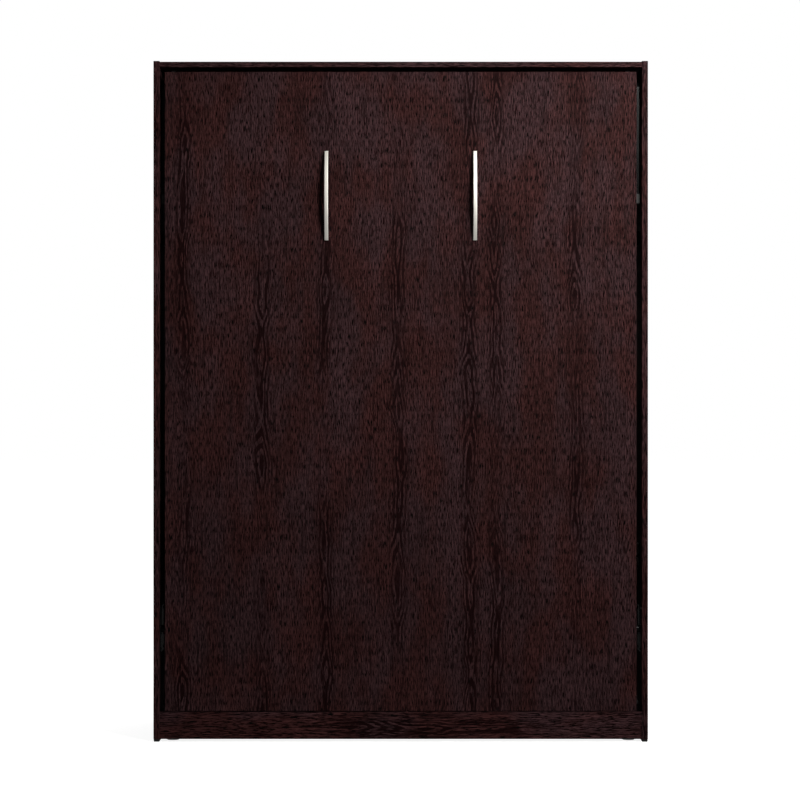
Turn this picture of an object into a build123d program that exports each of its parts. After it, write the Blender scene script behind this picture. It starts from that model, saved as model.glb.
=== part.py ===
"""A full-size wall bed that folds up into its own cabinet.

Millimetres. X runs along the width (left is -X), Y from the front (-Y) to the wall (+Y), and Z is up.
The origin is on the floor, at the middle of the folded bed's bounding box. The bed is modelled folded up.

The bed turns about two pins in the cabinet's sides. Two gas struts balance it. The pin, a strut's upper
ball and a strut's lower ball form a triangle with two equal legs, so each half of a strut turns at exactly
half the rate of the bed, and the rod stays in line with its cylinder through the whole travel.
"""

import math
import os

from build123d import *

# Cabinet
WIDTH = 1499.0
HEIGHT = 2064.0
CABINET_DEPTH = 457.0
TOTAL_DEPTH = 480.0  # with the pulls
SIDE_THICKNESS = 18.0
BOARD_THICKNESS = 16.0
GLIDE_HEIGHT = 8.0
TOP_SETBACK = 2.0  # the top panel lies this far inside the side panels' edges
EDGE_RADIUS = 0.8

FRONT_Y = TOTAL_DEPTH / 2 - CABINET_DEPTH
BACK_Y = TOTAL_DEPTH / 2
INNER_X = WIDTH / 2 - SIDE_THICKNESS
REAR_BOARD_Y = (BACK_Y - BOARD_THICKNESS, BACK_Y)
TOP_Z = (HEIGHT - TOP_SETBACK - BOARD_THICKNESS, HEIGHT - TOP_SETBACK)

# Kick board, base board and levelling feet
KICK_SETBACK = 4.0
KICK_Z = (8.0, 90.0)
KICK_Y = (FRONT_Y + KICK_SETBACK, FRONT_Y + KICK_SETBACK + BOARD_THICKNESS)
BASE_BOARD_DEPTH = 100.0
BASE_BOARD_Z = (58.0, 74.0)
BASE_BOARD_Y = (KICK_Y[1], KICK_Y[1] + BASE_BOARD_DEPTH)
FOOT_X = 695.0
FOOT_Y = -165.0
FOOT_RADIUS = 19.5
FOOT_STEM_RADIUS = 5.0
FOOT_STEM_TOP = 70.0
FOOT_INSERT_RADIUS = 8.0
FOOT_CLEARANCE = 0.1

# Boards across the back
UPPER_RAIL_Z = (TOP_Z[0] - 150.0, TOP_Z[0])
HEADBOARD_Z = (400.0, 1040.0)
LOWER_RAIL_Z = (GLIDE_HEIGHT, 108.0)
WALL_HOLE_RADIUS = 4.0
WALL_HOLE_SPACING = (1200.0, 70.0)

# Door panel, which is also the underside of the open bed
DOOR_WIDTH = 1431.0
DOOR_RECESS = 6.0
DOOR_Z = (92.5, 2032.0)
DOOR_Y = (FRONT_Y + DOOR_RECESS, FRONT_Y + DOOR_RECESS + BOARD_THICKNESS)

# Steel bed frame
RAIL_DEPTH = 50.0
RAIL_WIDTH = 20.0
RAIL_WALL = 2.0
RAIL_OUTER_X = 702.0
RAIL_INNER_X = RAIL_OUTER_X - RAIL_WIDTH
RAIL_Y = (DOOR_Y[1], DOOR_Y[1] + RAIL_DEPTH)
FRAME_Z = (84.0, 2029.0)
BEAM_HALF_WIDTH = 15.0
CROSS_BAR_DEPTH = 30.0
CROSS_BAR_HEIGHT = 25.0
CROSS_BAR_Z = (737.0, 1387.0)

# Pivot, gas struts and the angles of their triangle, counted from +Y towards +Z
PIVOT_Y = DOOR_Y[1] + 12.0
PIVOT_Z = 340.0
PIN_RADIUS = 7.0
PIN_CLEARANCE = 0.06
BUSH_RADIUS = 10.0
STRUT_ARM = 225.0
UPPER_BALL_ANGLE = 75.0
LOWER_BALL_ANGLE = -90.0
STRUT_X = 716.0
BALL_RADIUS = 5.0
BALL_NECK_RADIUS = 3.2
SOCKET_RADIUS = 9.0
SOCKET_BORE_RADIUS = 5.3
SOCKET_HALF_LENGTH = 6.5
SOCKET_FLOOR = 1.2
CYLINDER_RADIUS = 10.0
CYLINDER_BORE_RADIUS = 8.5
CYLINDER_REACH = (22.0, 240.0)  # from the upper ball
ROD_REACH = (22.0, 241.0)  # from the lower ball
ROD_RADIUS = 4.5
STRUT_CLEARANCE = 0.3
GUIDE_LENGTH = 15.0
PISTON_LENGTH = 16.0
END_NECK_RADIUS = 5.5

# Plates on the side panels
PLATE_THICKNESS = 3.0
PIVOT_PLATE_SIZE = (90.0, 140.0)
STRUT_PLATE_SIZE = (56.0, 84.0)
STOP_Z = 1532.0
STOP_HEIGHT = 44.0
STOP_FOOT_DEPTH = 60.0
STOP_INNER_X = 692.0  # clear of the mattress as it swings past
BUMPER_X = 697.5
BUMPER_RADIUS = 5.0
BUMPER_THICKNESS = 4.5
BUMPER_GAP = 0.3

# Slats and their holders
SLAT_COUNT = 12
SLAT_FIRST_Z = 170.0
SLAT_PITCH = 162.0
SLAT_HALF_LENGTH = 675.0
SLAT_WIDTH = 68.0
SLAT_THICKNESS = 8.0
SLAT_RISE = 8.0
SLAT_END_Y = RAIL_Y[1] + 2.0  # underside of a slat at its ends
HOLDER_INNER_X = 644.0
HOLDER_HEIGHT = 76.0
HOLDER_WALL = 2.5

# Mattress, its hoops and its straps
MATTRESS_SIZE = (1372.0, 254.0, 1905.0)
MATTRESS_Y = SLAT_END_Y + SLAT_RISE + SLAT_THICKNESS + 1.0
MATTRESS_Z = FRAME_Z[0] + RAIL_WIDTH
MATTRESS_CORNER_RADIUS = 60.0
MATTRESS_EDGE_RADIUS = 20.0
MATTRESS_PADDING = 14.0  # around the hollow that holds the springs
HOOP_RADIUS = 8.0
HOOP_WALL = 1.5
HOOP_HALF_WIDTH = 420.0
HOOP_TOP_Y = 5.0
HOOP_BEND_RADIUS = 45.0
STRAP_WIDTH = 50.0
STRAP_THICKNESS = 2.0
STRAP_GAP = 1.0
STRAP_TAB = 12.0
STRAP_Z = (737.0, 1385.0)

# Legs, which hang plumb in the reveals beside the door
LEG_PIVOT_Z = 1985.0
LEG_X = (718.5, 725.5)
LEG_WIDTH = 40.0
LEG_BOLT_RADIUS = 5.0
LEG_BOOT_X = (716.8, 727.2)
LEG_BOOT_HEIGHT = 32.0
LEG_BOOT_WIDTH = 46.0
LEG_PIVOT_Y = (RAIL_Y[0] + RAIL_Y[1]) / 2
LEG_REACH = PIVOT_Z + (LEG_PIVOT_Y - PIVOT_Y) - 0.5  # from its bolt to the floor when the bed is down

# Bow pulls
PULL_X = 225.5
PULL_Z = 1656.0
PULL_LENGTH = 270.6
PULL_WIDTH = 12.0
PULL_END_HEIGHT = 6.0
PULL_FOOT = 26.0
PULL_THICKNESS = 8.0
PULL_PROJECTION = TOTAL_DEPTH / 2 + DOOR_Y[0]
PULL_SCREW_SPACING = 256.0
PULL_SCREW_RADIUS = 2.0
PULL_SCREW_DEPTH = 5.0

# Fasteners
CAM_RADIUS = 7.5
CAM_DEPTH = 12.5
CAM_INSET = 34.0
PLATE_SCREW_RADIUS = 2.5
PLATE_SCREW_LENGTH = 14.0
BOLT_SLACK = 0.05
FRAME_BOLT_RADIUS = 3.0
FRAME_BOLT_BITE = 9.0
FRAME_BOLT_Z = tuple(SLAT_FIRST_Z + SLAT_PITCH * (n + 0.5) for n in (0, 2, 4, 6, 9))

SIDES = {"left": -1, "right": 1}


def save(builder, name):
    """Labels a finished piece and writes its STEP file."""
    builder.part.label = name
    export_step(builder.part, f"parts/{name}.step")


def block(x, y, z, mode=Mode.ADD):
    """Adds the box that spans three pairs of limits, given in either order."""
    middle = tuple(sum(pair) / 2 for pair in (x, y, z))
    with Locations(middle):
        Box(*(abs(pair[1] - pair[0]) for pair in (x, y, z)), mode=mode)


def bar(radius, start, end, mode=Mode.ADD):
    """Adds the cylinder of that radius from one point to another."""
    axis = Vector(*end) - Vector(*start)
    with Locations(Plane(origin=start, z_dir=axis).location):
        Cylinder(radius, axis.length, align=(Align.CENTER, Align.CENTER, Align.MIN), mode=mode)


def board(x, y, z, long_axis=Axis.Z):
    """Adds a board whose long edges are eased."""
    block(x, y, z)
    fillet(edges().filter_by(long_axis), EDGE_RADIUS)


def cam_pockets(x_positions, y, z_positions, into):
    """Cuts the pockets of the cam locks in a board's face. `into` points into the board, along Y or Z."""
    for x in x_positions:
        for z in z_positions:
            start = Vector(x, y, z)
            bar(CAM_RADIUS, start, start + Vector(*into) * CAM_DEPTH, mode=Mode.SUBTRACT)


# The rows of cam locks: x positions, y, z positions and the way into the board.
CAM_X = (-INNER_X + CAM_INSET, INNER_X - CAM_INSET)
CAM_ROWS = {
    "top_panel": [(CAM_X, y, (TOP_Z[0],), (0, 0, 1)) for y in (FRONT_Y + 90, 0, BACK_Y - 80)],
    "upper_wall_rail": [(CAM_X, REAR_BOARD_Y[0], (UPPER_RAIL_Z[0] + 30, UPPER_RAIL_Z[1] - 30), (0, 1, 0))],
    "headboard_panel": [(CAM_X, REAR_BOARD_Y[0], (HEADBOARD_Z[0] + 60, HEADBOARD_Z[1] - 60), (0, 1, 0))],
    "lower_rear_rail": [(CAM_X, REAR_BOARD_Y[0], (LOWER_RAIL_Z[0] + 50,), (0, 1, 0))],
    "kick_board": [(CAM_X, KICK_Y[1], (KICK_Z[0] + 26,), (0, -1, 0))],
}


def make_side_panel(name, side):
    """A full-height side panel, with the screw holes of the plates it carries."""
    with BuildPart() as panel:
        board((side * INNER_X, side * WIDTH / 2), (FRONT_Y, BACK_Y), (GLIDE_HEIGHT, HEIGHT))
        for y, z in plate_screw_points():
            reach = INNER_X + PLATE_SCREW_LENGTH
            bar(PLATE_SCREW_RADIUS, (side * INNER_X, y, z), (side * reach, y, z), mode=Mode.SUBTRACT)
    save(panel, f"side_panel_{name}")


def make_cross_board(name, y, z):
    """A board that spans the cabinet between its side panels, with its cam pockets."""
    with BuildPart() as part:
        board((-INNER_X, INNER_X), y, z, Axis.X)
        for row in CAM_ROWS.get(name, []):
            cam_pockets(*row)
        if name == "upper_wall_rail":
            with Locations(Plane(origin=(0, y[1], sum(z) / 2), x_dir=(-1, 0, 0), z_dir=(0, 1, 0)).location):
                with GridLocations(*WALL_HOLE_SPACING, 2, 2):
                    Hole(WALL_HOLE_RADIUS, BOARD_THICKNESS)
        if name == "base_board":
            for side in SIDES.values():
                foot = (side * FOOT_X, FOOT_Y)
                bar(FOOT_INSERT_RADIUS, (*foot, z[0]), (*foot, z[1]), mode=Mode.SUBTRACT)
    save(part, name)


def make_cam_locks():
    """The zinc cam locks, flush in their pockets, each with a cross slot."""
    slot_depth, slot_width, slot_length, slack = 2.0, 2.0, 9.0, 0.05
    with BuildPart() as cams:
        for rows in CAM_ROWS.values():
            for x_positions, y, z_positions, into in rows:
                for x in x_positions:
                    for z in z_positions:
                        start, way = Vector(x, y, z), Vector(*into)
                        bar(CAM_RADIUS - slack, start, start + way * (CAM_DEPTH - slack))
                        face = Plane(origin=start, x_dir=(1, 0, 0), z_dir=way)
                        with BuildSketch(face, mode=Mode.PRIVATE) as slot:
                            Rectangle(slot_length, slot_width)
                            Rectangle(slot_width, slot_length)
                        extrude(slot.sketch, amount=slot_depth, mode=Mode.SUBTRACT)
    save(cams, "cam_locks")


def make_glides():
    """Four nylon glides under the side panels. They carry the cabinet."""
    length, width, inset = 44.0, 17.4, 3.0
    with BuildPart() as glides:
        for side in SIDES.values():
            x = side * (WIDTH / 2 - SIDE_THICKNESS / 2)
            for y in (FRONT_Y + inset + length / 2, BACK_Y - inset - length / 2):
                with BuildSketch(Plane.XY.offset(GLIDE_HEIGHT)):
                    with Locations((x, y)):
                        RectangleRounded(width, length, 3)
        extrude(amount=-GLIDE_HEIGHT)
        chamfer(faces().filter_by(Axis.Z).group_by(Axis.Z)[0].edges(), 1.2)
    save(glides, "panel_glides")


def make_levelling_foot(name, side):
    """A screw foot: a shallow dished pad, a hexagon for the spanner and a stem up into the base board."""
    x = side * FOOT_X
    with BuildPart() as foot:
        with BuildSketch(Plane(origin=(x, FOOT_Y, 0), x_dir=(1, 0, 0), z_dir=(0, -1, 0))) as profile:
            with BuildLine():
                Polyline((0, 0), (FOOT_RADIUS - 1.5, 0), (FOOT_RADIUS, 1.5), (FOOT_RADIUS, 4), (10, 9), (0, 9), (0, 0))
            make_face()
        revolve(axis=Axis((x, FOOT_Y, 0), (0, 0, 1)))
        with BuildSketch(Plane(origin=(x, FOOT_Y, 9))):
            RegularPolygon(8, 6)
        extrude(amount=7)
        bar(FOOT_STEM_RADIUS - FOOT_CLEARANCE, (x, FOOT_Y, 12), (x, FOOT_Y, FOOT_STEM_TOP))
    save(foot, f"levelling_foot_{name}")


def make_foot_inserts():
    """The flanged threaded inserts that the levelling feet screw into."""
    flange_radius, flange = 12.0, 2.0
    with BuildPart() as inserts:
        for side in SIDES.values():
            x = side * FOOT_X
            bar(FOOT_INSERT_RADIUS, (x, FOOT_Y, BASE_BOARD_Z[0]), (x, FOOT_Y, BASE_BOARD_Z[1]))
            bar(flange_radius, (x, FOOT_Y, BASE_BOARD_Z[0] - flange), (x, FOOT_Y, BASE_BOARD_Z[0]))
            low, high = BASE_BOARD_Z[0] - flange, BASE_BOARD_Z[1]
            bar(FOOT_STEM_RADIUS, (x, FOOT_Y, low), (x, FOOT_Y, high), mode=Mode.SUBTRACT)
    save(inserts, "foot_inserts")


def ball_point(angle):
    """The (y, z) of a strut's ball: one arm's length from the pivot, at that angle from +Y towards +Z."""
    turn = math.radians(angle)
    return PIVOT_Y + STRUT_ARM * math.cos(turn), PIVOT_Z + STRUT_ARM * math.sin(turn)


UPPER_BALL = ball_point(UPPER_BALL_ANGLE)
LOWER_BALL = ball_point(LOWER_BALL_ANGLE)
PIVOT_PLATE_CENTRE = (PIVOT_Y + 22.0, PIVOT_Z)


def plate_corners(centre, size, inset=10.0):
    """The screw points near the four corners of a plate, as (y, z)."""
    half_y, half_z = size[0] / 2 - inset, size[1] / 2 - inset
    return [(centre[0] + sy * half_y, centre[1] + sz * half_z) for sy in (-1, 1) for sz in (-1, 1)]


def stop_screw_points():
    """The two screws of a stop bracket, as (y, z)."""
    y = RAIL_Y[1] + BUMPER_GAP + BUMPER_THICKNESS + STOP_FOOT_DEPTH / 2 + 6
    return [(y, STOP_Z + s * 13) for s in (-1, 1)]


def plate_screw_points():
    """Every screw point on a side panel's inner face, as (y, z)."""
    points = plate_corners(PIVOT_PLATE_CENTRE, PIVOT_PLATE_SIZE)
    points += plate_corners(UPPER_BALL, STRUT_PLATE_SIZE)
    return points + stop_screw_points()


def steel_plate(side, centre, size):
    """Adds a plate with rounded corners against a side panel, with its screw holes."""
    plane = Plane(origin=(side * INNER_X, *centre), x_dir=(0, 1, 0), z_dir=(side, 0, 0))
    with BuildSketch(plane, mode=Mode.PRIVATE) as outline:
        RectangleRounded(*size, 8)
    extrude(outline.sketch, amount=-PLATE_THICKNESS)
    for y, z in plate_corners(centre, size):
        low, high = side * (INNER_X - PLATE_THICKNESS), side * INNER_X
        bar(PLATE_SCREW_RADIUS, (low, y, z), (high, y, z), mode=Mode.SUBTRACT)


def make_pivot_plate(name, side):
    """The plate on the side panel with the pin, welded in it, that the bed turns on."""
    pin_end, groove = RAIL_INNER_X - 6, 2.0
    y, z = PIVOT_Y, PIVOT_Z
    with BuildPart() as plate:
        steel_plate(side, PIVOT_PLATE_CENTRE, PIVOT_PLATE_SIZE)
        bar(PIN_RADIUS, (side * (INNER_X - 1), y, z), (side * pin_end, y, z))
        bar(PIN_RADIUS + 4, (side * (INNER_X - PLATE_THICKNESS), y, z), (side * (RAIL_OUTER_X + 4.5), y, z))
        ends = plate.edges().filter_by(GeomType.CIRCLE).sort_by(Axis.X)
        chamfer(ends[0] if side > 0 else ends[-1], groove / 2)
    save(plate, f"pivot_plate_{name}")


def ball_stud(side, centre, base_x, neck_radius):
    """Adds a strut's ball on a round neck that starts at base_x and runs along X."""
    y, z = centre
    towards = 1 if base_x > STRUT_X else -1
    throat = STRUT_X + towards * math.sqrt(BALL_RADIUS**2 - neck_radius**2)
    plane = Plane(origin=(0, y, z), x_dir=(side, 0, 0), z_dir=(0, 1, 0))
    with BuildSketch(plane, mode=Mode.PRIVATE) as profile:
        with BuildLine():
            Polyline((throat, neck_radius), (base_x, neck_radius), (base_x, 0), (STRUT_X - towards * BALL_RADIUS, 0))
            ThreePointArc((STRUT_X - towards * BALL_RADIUS, 0), (STRUT_X, BALL_RADIUS), (throat, neck_radius))
        make_face()
    revolve(profile.sketch, axis=Axis((0, y, z), (1, 0, 0)))


def make_strut_bracket(name, side):
    """The plate on the side panel with the ball stud that a gas strut hangs from."""
    with BuildPart() as bracket:
        steel_plate(side, UPPER_BALL, STRUT_PLATE_SIZE)
        ball_stud(side, UPPER_BALL, INNER_X - 1, BALL_NECK_RADIUS)
    save(bracket, f"strut_bracket_{name}")


def make_stop_brackets():
    """Two angle brackets on the side panels that the closed frame rests against."""
    low_y = RAIL_Y[1] + BUMPER_GAP + BUMPER_THICKNESS
    z = (STOP_Z - STOP_HEIGHT / 2, STOP_Z + STOP_HEIGHT / 2)
    with BuildPart() as brackets:
        for side in SIDES.values():
            inner, outer = side * (INNER_X - PLATE_THICKNESS), side * INNER_X
            block((inner, outer), (low_y, low_y + STOP_FOOT_DEPTH), z)
            block((side * STOP_INNER_X, inner), (low_y, low_y + PLATE_THICKNESS), z)
            for y, screw_z in stop_screw_points():
                bar(PLATE_SCREW_RADIUS, (inner, y, screw_z), (outer, y, screw_z), mode=Mode.SUBTRACT)
    save(brackets, "stop_brackets")


def make_stop_bumpers():
    """The rubber buffers on the stop brackets, just clear of the frame's rails."""
    near = RAIL_Y[1] + BUMPER_GAP
    with BuildPart() as bumpers:
        for side in SIDES.values():
            x = side * BUMPER_X
            bar(BUMPER_RADIUS, (x, near + BUMPER_THICKNESS, STOP_Z), (x, near, STOP_Z))
        tips = bumpers.faces().filter_by(Axis.Y).group_by(Axis.Y)[0]
        chamfer(tips.edges(), 1.2)
    save(bumpers, "stop_bumpers")


def make_plate_screws():
    """The pan-head screws of every plate and bracket on the side panels."""
    head_radius, head = 4.6, 1.5
    with BuildPart() as screws:
        for side in SIDES.values():
            face = INNER_X - PLATE_THICKNESS
            for y, z in plate_screw_points():
                tip = side * (INNER_X + PLATE_SCREW_LENGTH - 0.5)
                bar(PLATE_SCREW_RADIUS - 0.05, (side * face, y, z), (tip, y, z))
                bar(head_radius, (side * (face - head), y, z), (side * face, y, z))
        for x in (-INNER_X + PLATE_THICKNESS + head, INNER_X - PLATE_THICKNESS - head):
            rims = screws.edges().filter_by(GeomType.CIRCLE).filter_by_position(Axis.X, x - 0.01, x + 0.01)
            chamfer(rims, 0.6)
    save(screws, "plate_screws")


def make_door_panel():
    """The one-piece front panel. The pulls' screws pass through it, and the frame's bolts end in it."""
    with BuildPart() as door:
        block((-DOOR_WIDTH / 2, DOOR_WIDTH / 2), DOOR_Y, DOOR_Z)
        fillet(door.edges().filter_by(Axis.Y, reverse=True), EDGE_RADIUS)
        for x, z in pull_screw_points():
            bar(PULL_SCREW_RADIUS, (x, DOOR_Y[0], z), (x, DOOR_Y[1], z), mode=Mode.SUBTRACT)
        for x, z in frame_bolt_points():
            bottom = DOOR_Y[1] - FRAME_BOLT_BITE
            bar(FRAME_BOLT_RADIUS, (x, bottom, z), (x, DOOR_Y[1], z), mode=Mode.SUBTRACT)
    save(door, "door_panel")


def frame_bolt_points():
    """Where the frame's bolts run through the side rails, as (x, z)."""
    middle = (RAIL_INNER_X + RAIL_OUTER_X) / 2
    return [(side * middle, z) for side in SIDES.values() for z in FRAME_BOLT_Z]


def pull_screw_points():
    """Where the pulls' screws pass through the door, as (x, z)."""
    return [(sx * PULL_X, PULL_Z + sz * PULL_SCREW_SPACING / 2) for sx in (-1, 1) for sz in (-1, 1)]


def tube(x, y, z, along):
    """Adds a rectangular steel tube, open at both ends, that runs along one axis index."""
    limits = [x, y, z]
    inner = [(min(p) + RAIL_WALL, max(p) - RAIL_WALL) for p in limits]
    inner[along] = limits[along]
    block(*limits)
    block(*inner, mode=Mode.SUBTRACT)


def make_side_rail(name, side):
    """A side rail of the frame, bored for its pivot bush, leg bolt, ball stud and frame bolts."""
    with BuildPart() as rail:
        tube((side * RAIL_INNER_X, side * RAIL_OUTER_X), RAIL_Y, FRAME_Z, along=2)
        holes = [(BUSH_RADIUS, PIVOT_Y, PIVOT_Z), (LEG_BOLT_RADIUS + BOLT_SLACK, LEG_PIVOT_Y, LEG_PIVOT_Z)]
        holes.append((BALL_NECK_RADIUS, *LOWER_BALL))
        for radius, y, z in holes:
            bar(radius, (side * RAIL_INNER_X, y, z), (side * RAIL_OUTER_X, y, z), mode=Mode.SUBTRACT)
        for x, z in frame_bolt_points():
            if x * side > 0:
                bar(FRAME_BOLT_RADIUS, (x, RAIL_Y[0], z), (x, RAIL_Y[1], z), mode=Mode.SUBTRACT)
    save(rail, f"side_rail_{name}")


def make_end_rail(name, low_z):
    """The head or foot rail, between the side rails, bored for the hoop that stands in it."""
    with BuildPart() as rail:
        tube((-RAIL_INNER_X, RAIL_INNER_X), RAIL_Y, (low_z, low_z + RAIL_WIDTH), along=0)
    save(rail, name)


def make_rail_caps():
    """Plastic plugs in the open ends of the side rails."""
    depth, slack = 14.0, 0.1
    inset = RAIL_WALL + slack
    y = (RAIL_Y[0] + inset, RAIL_Y[1] - inset)
    with BuildPart() as caps:
        for side in SIDES.values():
            x = (side * (RAIL_INNER_X + inset), side * (RAIL_OUTER_X - inset))
            block(x, y, (FRAME_Z[0], FRAME_Z[0] + depth))
            block(x, y, (FRAME_Z[1] - depth, FRAME_Z[1]))
    save(caps, "rail_caps")


def make_centre_beam():
    """The tube down the middle of the frame that backs the slats."""
    with BuildPart() as beam:
        ends = (FRAME_Z[0] + RAIL_WIDTH, FRAME_Z[1] - RAIL_WIDTH)
        tube((-BEAM_HALF_WIDTH, BEAM_HALF_WIDTH), RAIL_Y, ends, along=2)
    save(beam, "centre_beam")


def make_cross_bars():
    """Four short tubes that tie the centre beam to the side rails, low against the door."""
    y = (RAIL_Y[0], RAIL_Y[0] + CROSS_BAR_DEPTH)
    with BuildPart() as bars:
        for side in SIDES.values():
            for z in CROSS_BAR_Z:
                tube((side * BEAM_HALF_WIDTH, side * RAIL_INNER_X), y, (z, z + CROSS_BAR_HEIGHT), along=0)
    save(bars, "cross_bars")


def slat_z(index):
    """The height of a slat's middle."""
    return SLAT_FIRST_Z + SLAT_PITCH * index


def make_slat(index):
    """A sprung slat, bowed towards the mattress."""
    low, high = SLAT_END_Y, SLAT_END_Y + SLAT_THICKNESS
    bottom = slat_z(index) - SLAT_WIDTH / 2
    with BuildPart() as slat:
        with BuildSketch(Plane.XY.offset(bottom)):
            with BuildLine():
                under = ThreePointArc((-SLAT_HALF_LENGTH, low), (0, low + SLAT_RISE), (SLAT_HALF_LENGTH, low))
                over = ThreePointArc((-SLAT_HALF_LENGTH, high), (0, high + SLAT_RISE), (SLAT_HALF_LENGTH, high))
                Line(under @ 0, over @ 0)
                Line(under @ 1, over @ 1)
            make_face()
        extrude(amount=SLAT_WIDTH)
        fillet(slat.edges().filter_by(Axis.Y), 6)
    save(slat, f"slat_{index + 1:02d}")


def make_slat_holders():
    """Plastic pockets for the slats' ends, hooked over the side rails, and rests on the centre beam."""
    slack, lip_width, lip_height = 0.2, 16.0, 4.0
    low, high = SLAT_END_Y - slack - HOLDER_WALL, SLAT_END_Y + SLAT_THICKNESS + 1.5
    rest_top = SLAT_END_Y + SLAT_RISE - slack
    with BuildPart() as holders:
        for index in range(SLAT_COUNT):
            z = slat_z(index)
            pocket = (z - SLAT_WIDTH / 2 - slack, z + SLAT_WIDTH / 2 + slack)
            body = (z - HOLDER_HEIGHT / 2, z + HOLDER_HEIGHT / 2)
            for side in SIDES.values():
                inner, rail = side * HOLDER_INNER_X, side * RAIL_INNER_X
                block((inner, rail), (low, high + HOLDER_WALL), body)
                block((rail, rail + side * lip_width), (RAIL_Y[1], RAIL_Y[1] + lip_height), (z - 24, z + 24))
                bottom = side * (SLAT_HALF_LENGTH + slack)
                block((inner, bottom), (low + HOLDER_WALL, high), pocket, mode=Mode.SUBTRACT)
            block((-BEAM_HALF_WIDTH, BEAM_HALF_WIDTH), (RAIL_Y[1], rest_top), (z - 20, z + 20))
    save(holders, "slat_holders")


def make_pivot_bushes():
    """The flanged nylon bushes in the side rails that run on the pivot pins."""
    flange_radius, flange = 11.5, 2.0
    y, z = PIVOT_Y, PIVOT_Z
    with BuildPart() as bushes:
        for side in SIDES.values():
            inner, outer = side * (RAIL_INNER_X - 1), side * (RAIL_OUTER_X + flange)
            bar(BUSH_RADIUS, (inner, y, z), (side * RAIL_OUTER_X, y, z))
            bar(flange_radius, (side * RAIL_OUTER_X, y, z), (outer, y, z))
            bar(PIN_RADIUS + PIN_CLEARANCE, (inner, y, z), (outer, y, z), mode=Mode.SUBTRACT)
    save(bushes, "pivot_bushes")


def make_ball_studs():
    """The ball studs on the tails of the side rails, with a hexagon outside and a nut inside."""
    y, z = LOWER_BALL
    with BuildPart() as studs:
        for side in SIDES.values():
            ball_stud(side, LOWER_BALL, RAIL_INNER_X - 9, BALL_NECK_RADIUS - 0.05)
            for x, height in ((RAIL_OUTER_X, 3.5), (RAIL_INNER_X, -5.0)):
                with BuildSketch(Plane(origin=(side * x, y, z), x_dir=(0, 1, 0), z_dir=(side, 0, 0))):
                    RegularPolygon(6.5, 6)
                extrude(amount=height)
    save(studs, "ball_studs")


def socket(side, ball, away):
    """Adds a ball socket, open on the side that its stud comes from. `away` is +1 if that is outwards."""
    y, z = ball
    low, high = STRUT_X - SOCKET_HALF_LENGTH, STRUT_X + SOCKET_HALF_LENGTH
    bar(SOCKET_RADIUS, (side * low, y, z), (side * high, y, z))
    if away > 0:
        bore = (low + SOCKET_FLOOR, high)
    else:
        bore = (low, high - SOCKET_FLOOR)
    bar(SOCKET_BORE_RADIUS, (side * bore[0], y, z), (side * bore[1], y, z), mode=Mode.SUBTRACT)


def revolved(start, way, side, outline):
    """Adds the solid that an outline of (radius, distance) points makes about a strut's line."""
    origin = (side * STRUT_X, *start)
    along = Vector(0, *way)
    plane = Plane(origin=origin, x_dir=(1, 0, 0), z_dir=Vector(1, 0, 0).cross(along))
    with BuildSketch(plane, mode=Mode.PRIVATE) as profile:
        with BuildLine():
            Polyline(*outline, close=True)
        make_face()
    revolve(profile.sketch, axis=Axis(origin, along))


def strut_way(start, end):
    """The unit vector from one ball to the other, as (y, z)."""
    length = math.dist(start, end)
    return (end[0] - start[0]) / length, (end[1] - start[1]) / length


def make_strut_cylinder(name, side):
    """The pressure tube of a gas strut, with its upper socket and the guide that the rod runs in."""
    low, high = CYLINDER_REACH
    cap, guide = 6.0, high - GUIDE_LENGTH
    bore = ROD_RADIUS + STRUT_CLEARANCE
    outline = [(0, low), (CYLINDER_RADIUS, low), (CYLINDER_RADIUS, high), (bore, high), (bore, guide)]
    outline += [(CYLINDER_BORE_RADIUS, guide), (CYLINDER_BORE_RADIUS, low + cap), (0, low + cap)]
    neck = [(0, SOCKET_RADIUS - 2), (END_NECK_RADIUS, SOCKET_RADIUS - 2), (END_NECK_RADIUS, low), (0, low)]
    way = strut_way(UPPER_BALL, LOWER_BALL)
    with BuildPart() as cylinder:
        revolved(UPPER_BALL, way, side, outline)
        revolved(UPPER_BALL, way, side, neck)
        socket(side, UPPER_BALL, away=1)
    save(cylinder, f"strut_cylinder_{name}")


def make_strut_rod(name, side):
    """The rod of a gas strut, with its piston inside the cylinder and its lower socket."""
    low, high = ROD_REACH
    piston = CYLINDER_BORE_RADIUS - STRUT_CLEARANCE
    outline = [(0, low - 4), (ROD_RADIUS, low - 4), (ROD_RADIUS, high - PISTON_LENGTH)]
    outline += [(piston, high - PISTON_LENGTH), (piston, high), (0, high)]
    neck = [(0, SOCKET_RADIUS - 2), (END_NECK_RADIUS, SOCKET_RADIUS - 2), (END_NECK_RADIUS, low), (0, low)]
    way = strut_way(LOWER_BALL, UPPER_BALL)
    with BuildPart() as rod:
        revolved(LOWER_BALL, way, side, outline)
        revolved(LOWER_BALL, way, side, neck)
        socket(side, LOWER_BALL, away=-1)
    save(rod, f"strut_rod_{name}")


def make_leg(name, side):
    """A flat steel leg on a bolt near the foot of the frame."""
    x = (side * LEG_X[0], side * LEG_X[1])
    y = (LEG_PIVOT_Y - LEG_WIDTH / 2, LEG_PIVOT_Y + LEG_WIDTH / 2)
    with BuildPart() as leg:
        block(x, y, (LEG_PIVOT_Z - LEG_REACH + 4, LEG_PIVOT_Z))
        bar(LEG_WIDTH / 2, (x[0], LEG_PIVOT_Y, LEG_PIVOT_Z), (x[1], LEG_PIVOT_Y, LEG_PIVOT_Z))
        hole = LEG_BOLT_RADIUS + PIN_CLEARANCE
        bar(hole, (x[0], LEG_PIVOT_Y, LEG_PIVOT_Z), (x[1], LEG_PIVOT_Y, LEG_PIVOT_Z), mode=Mode.SUBTRACT)
    save(leg, f"leg_{name}")


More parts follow.
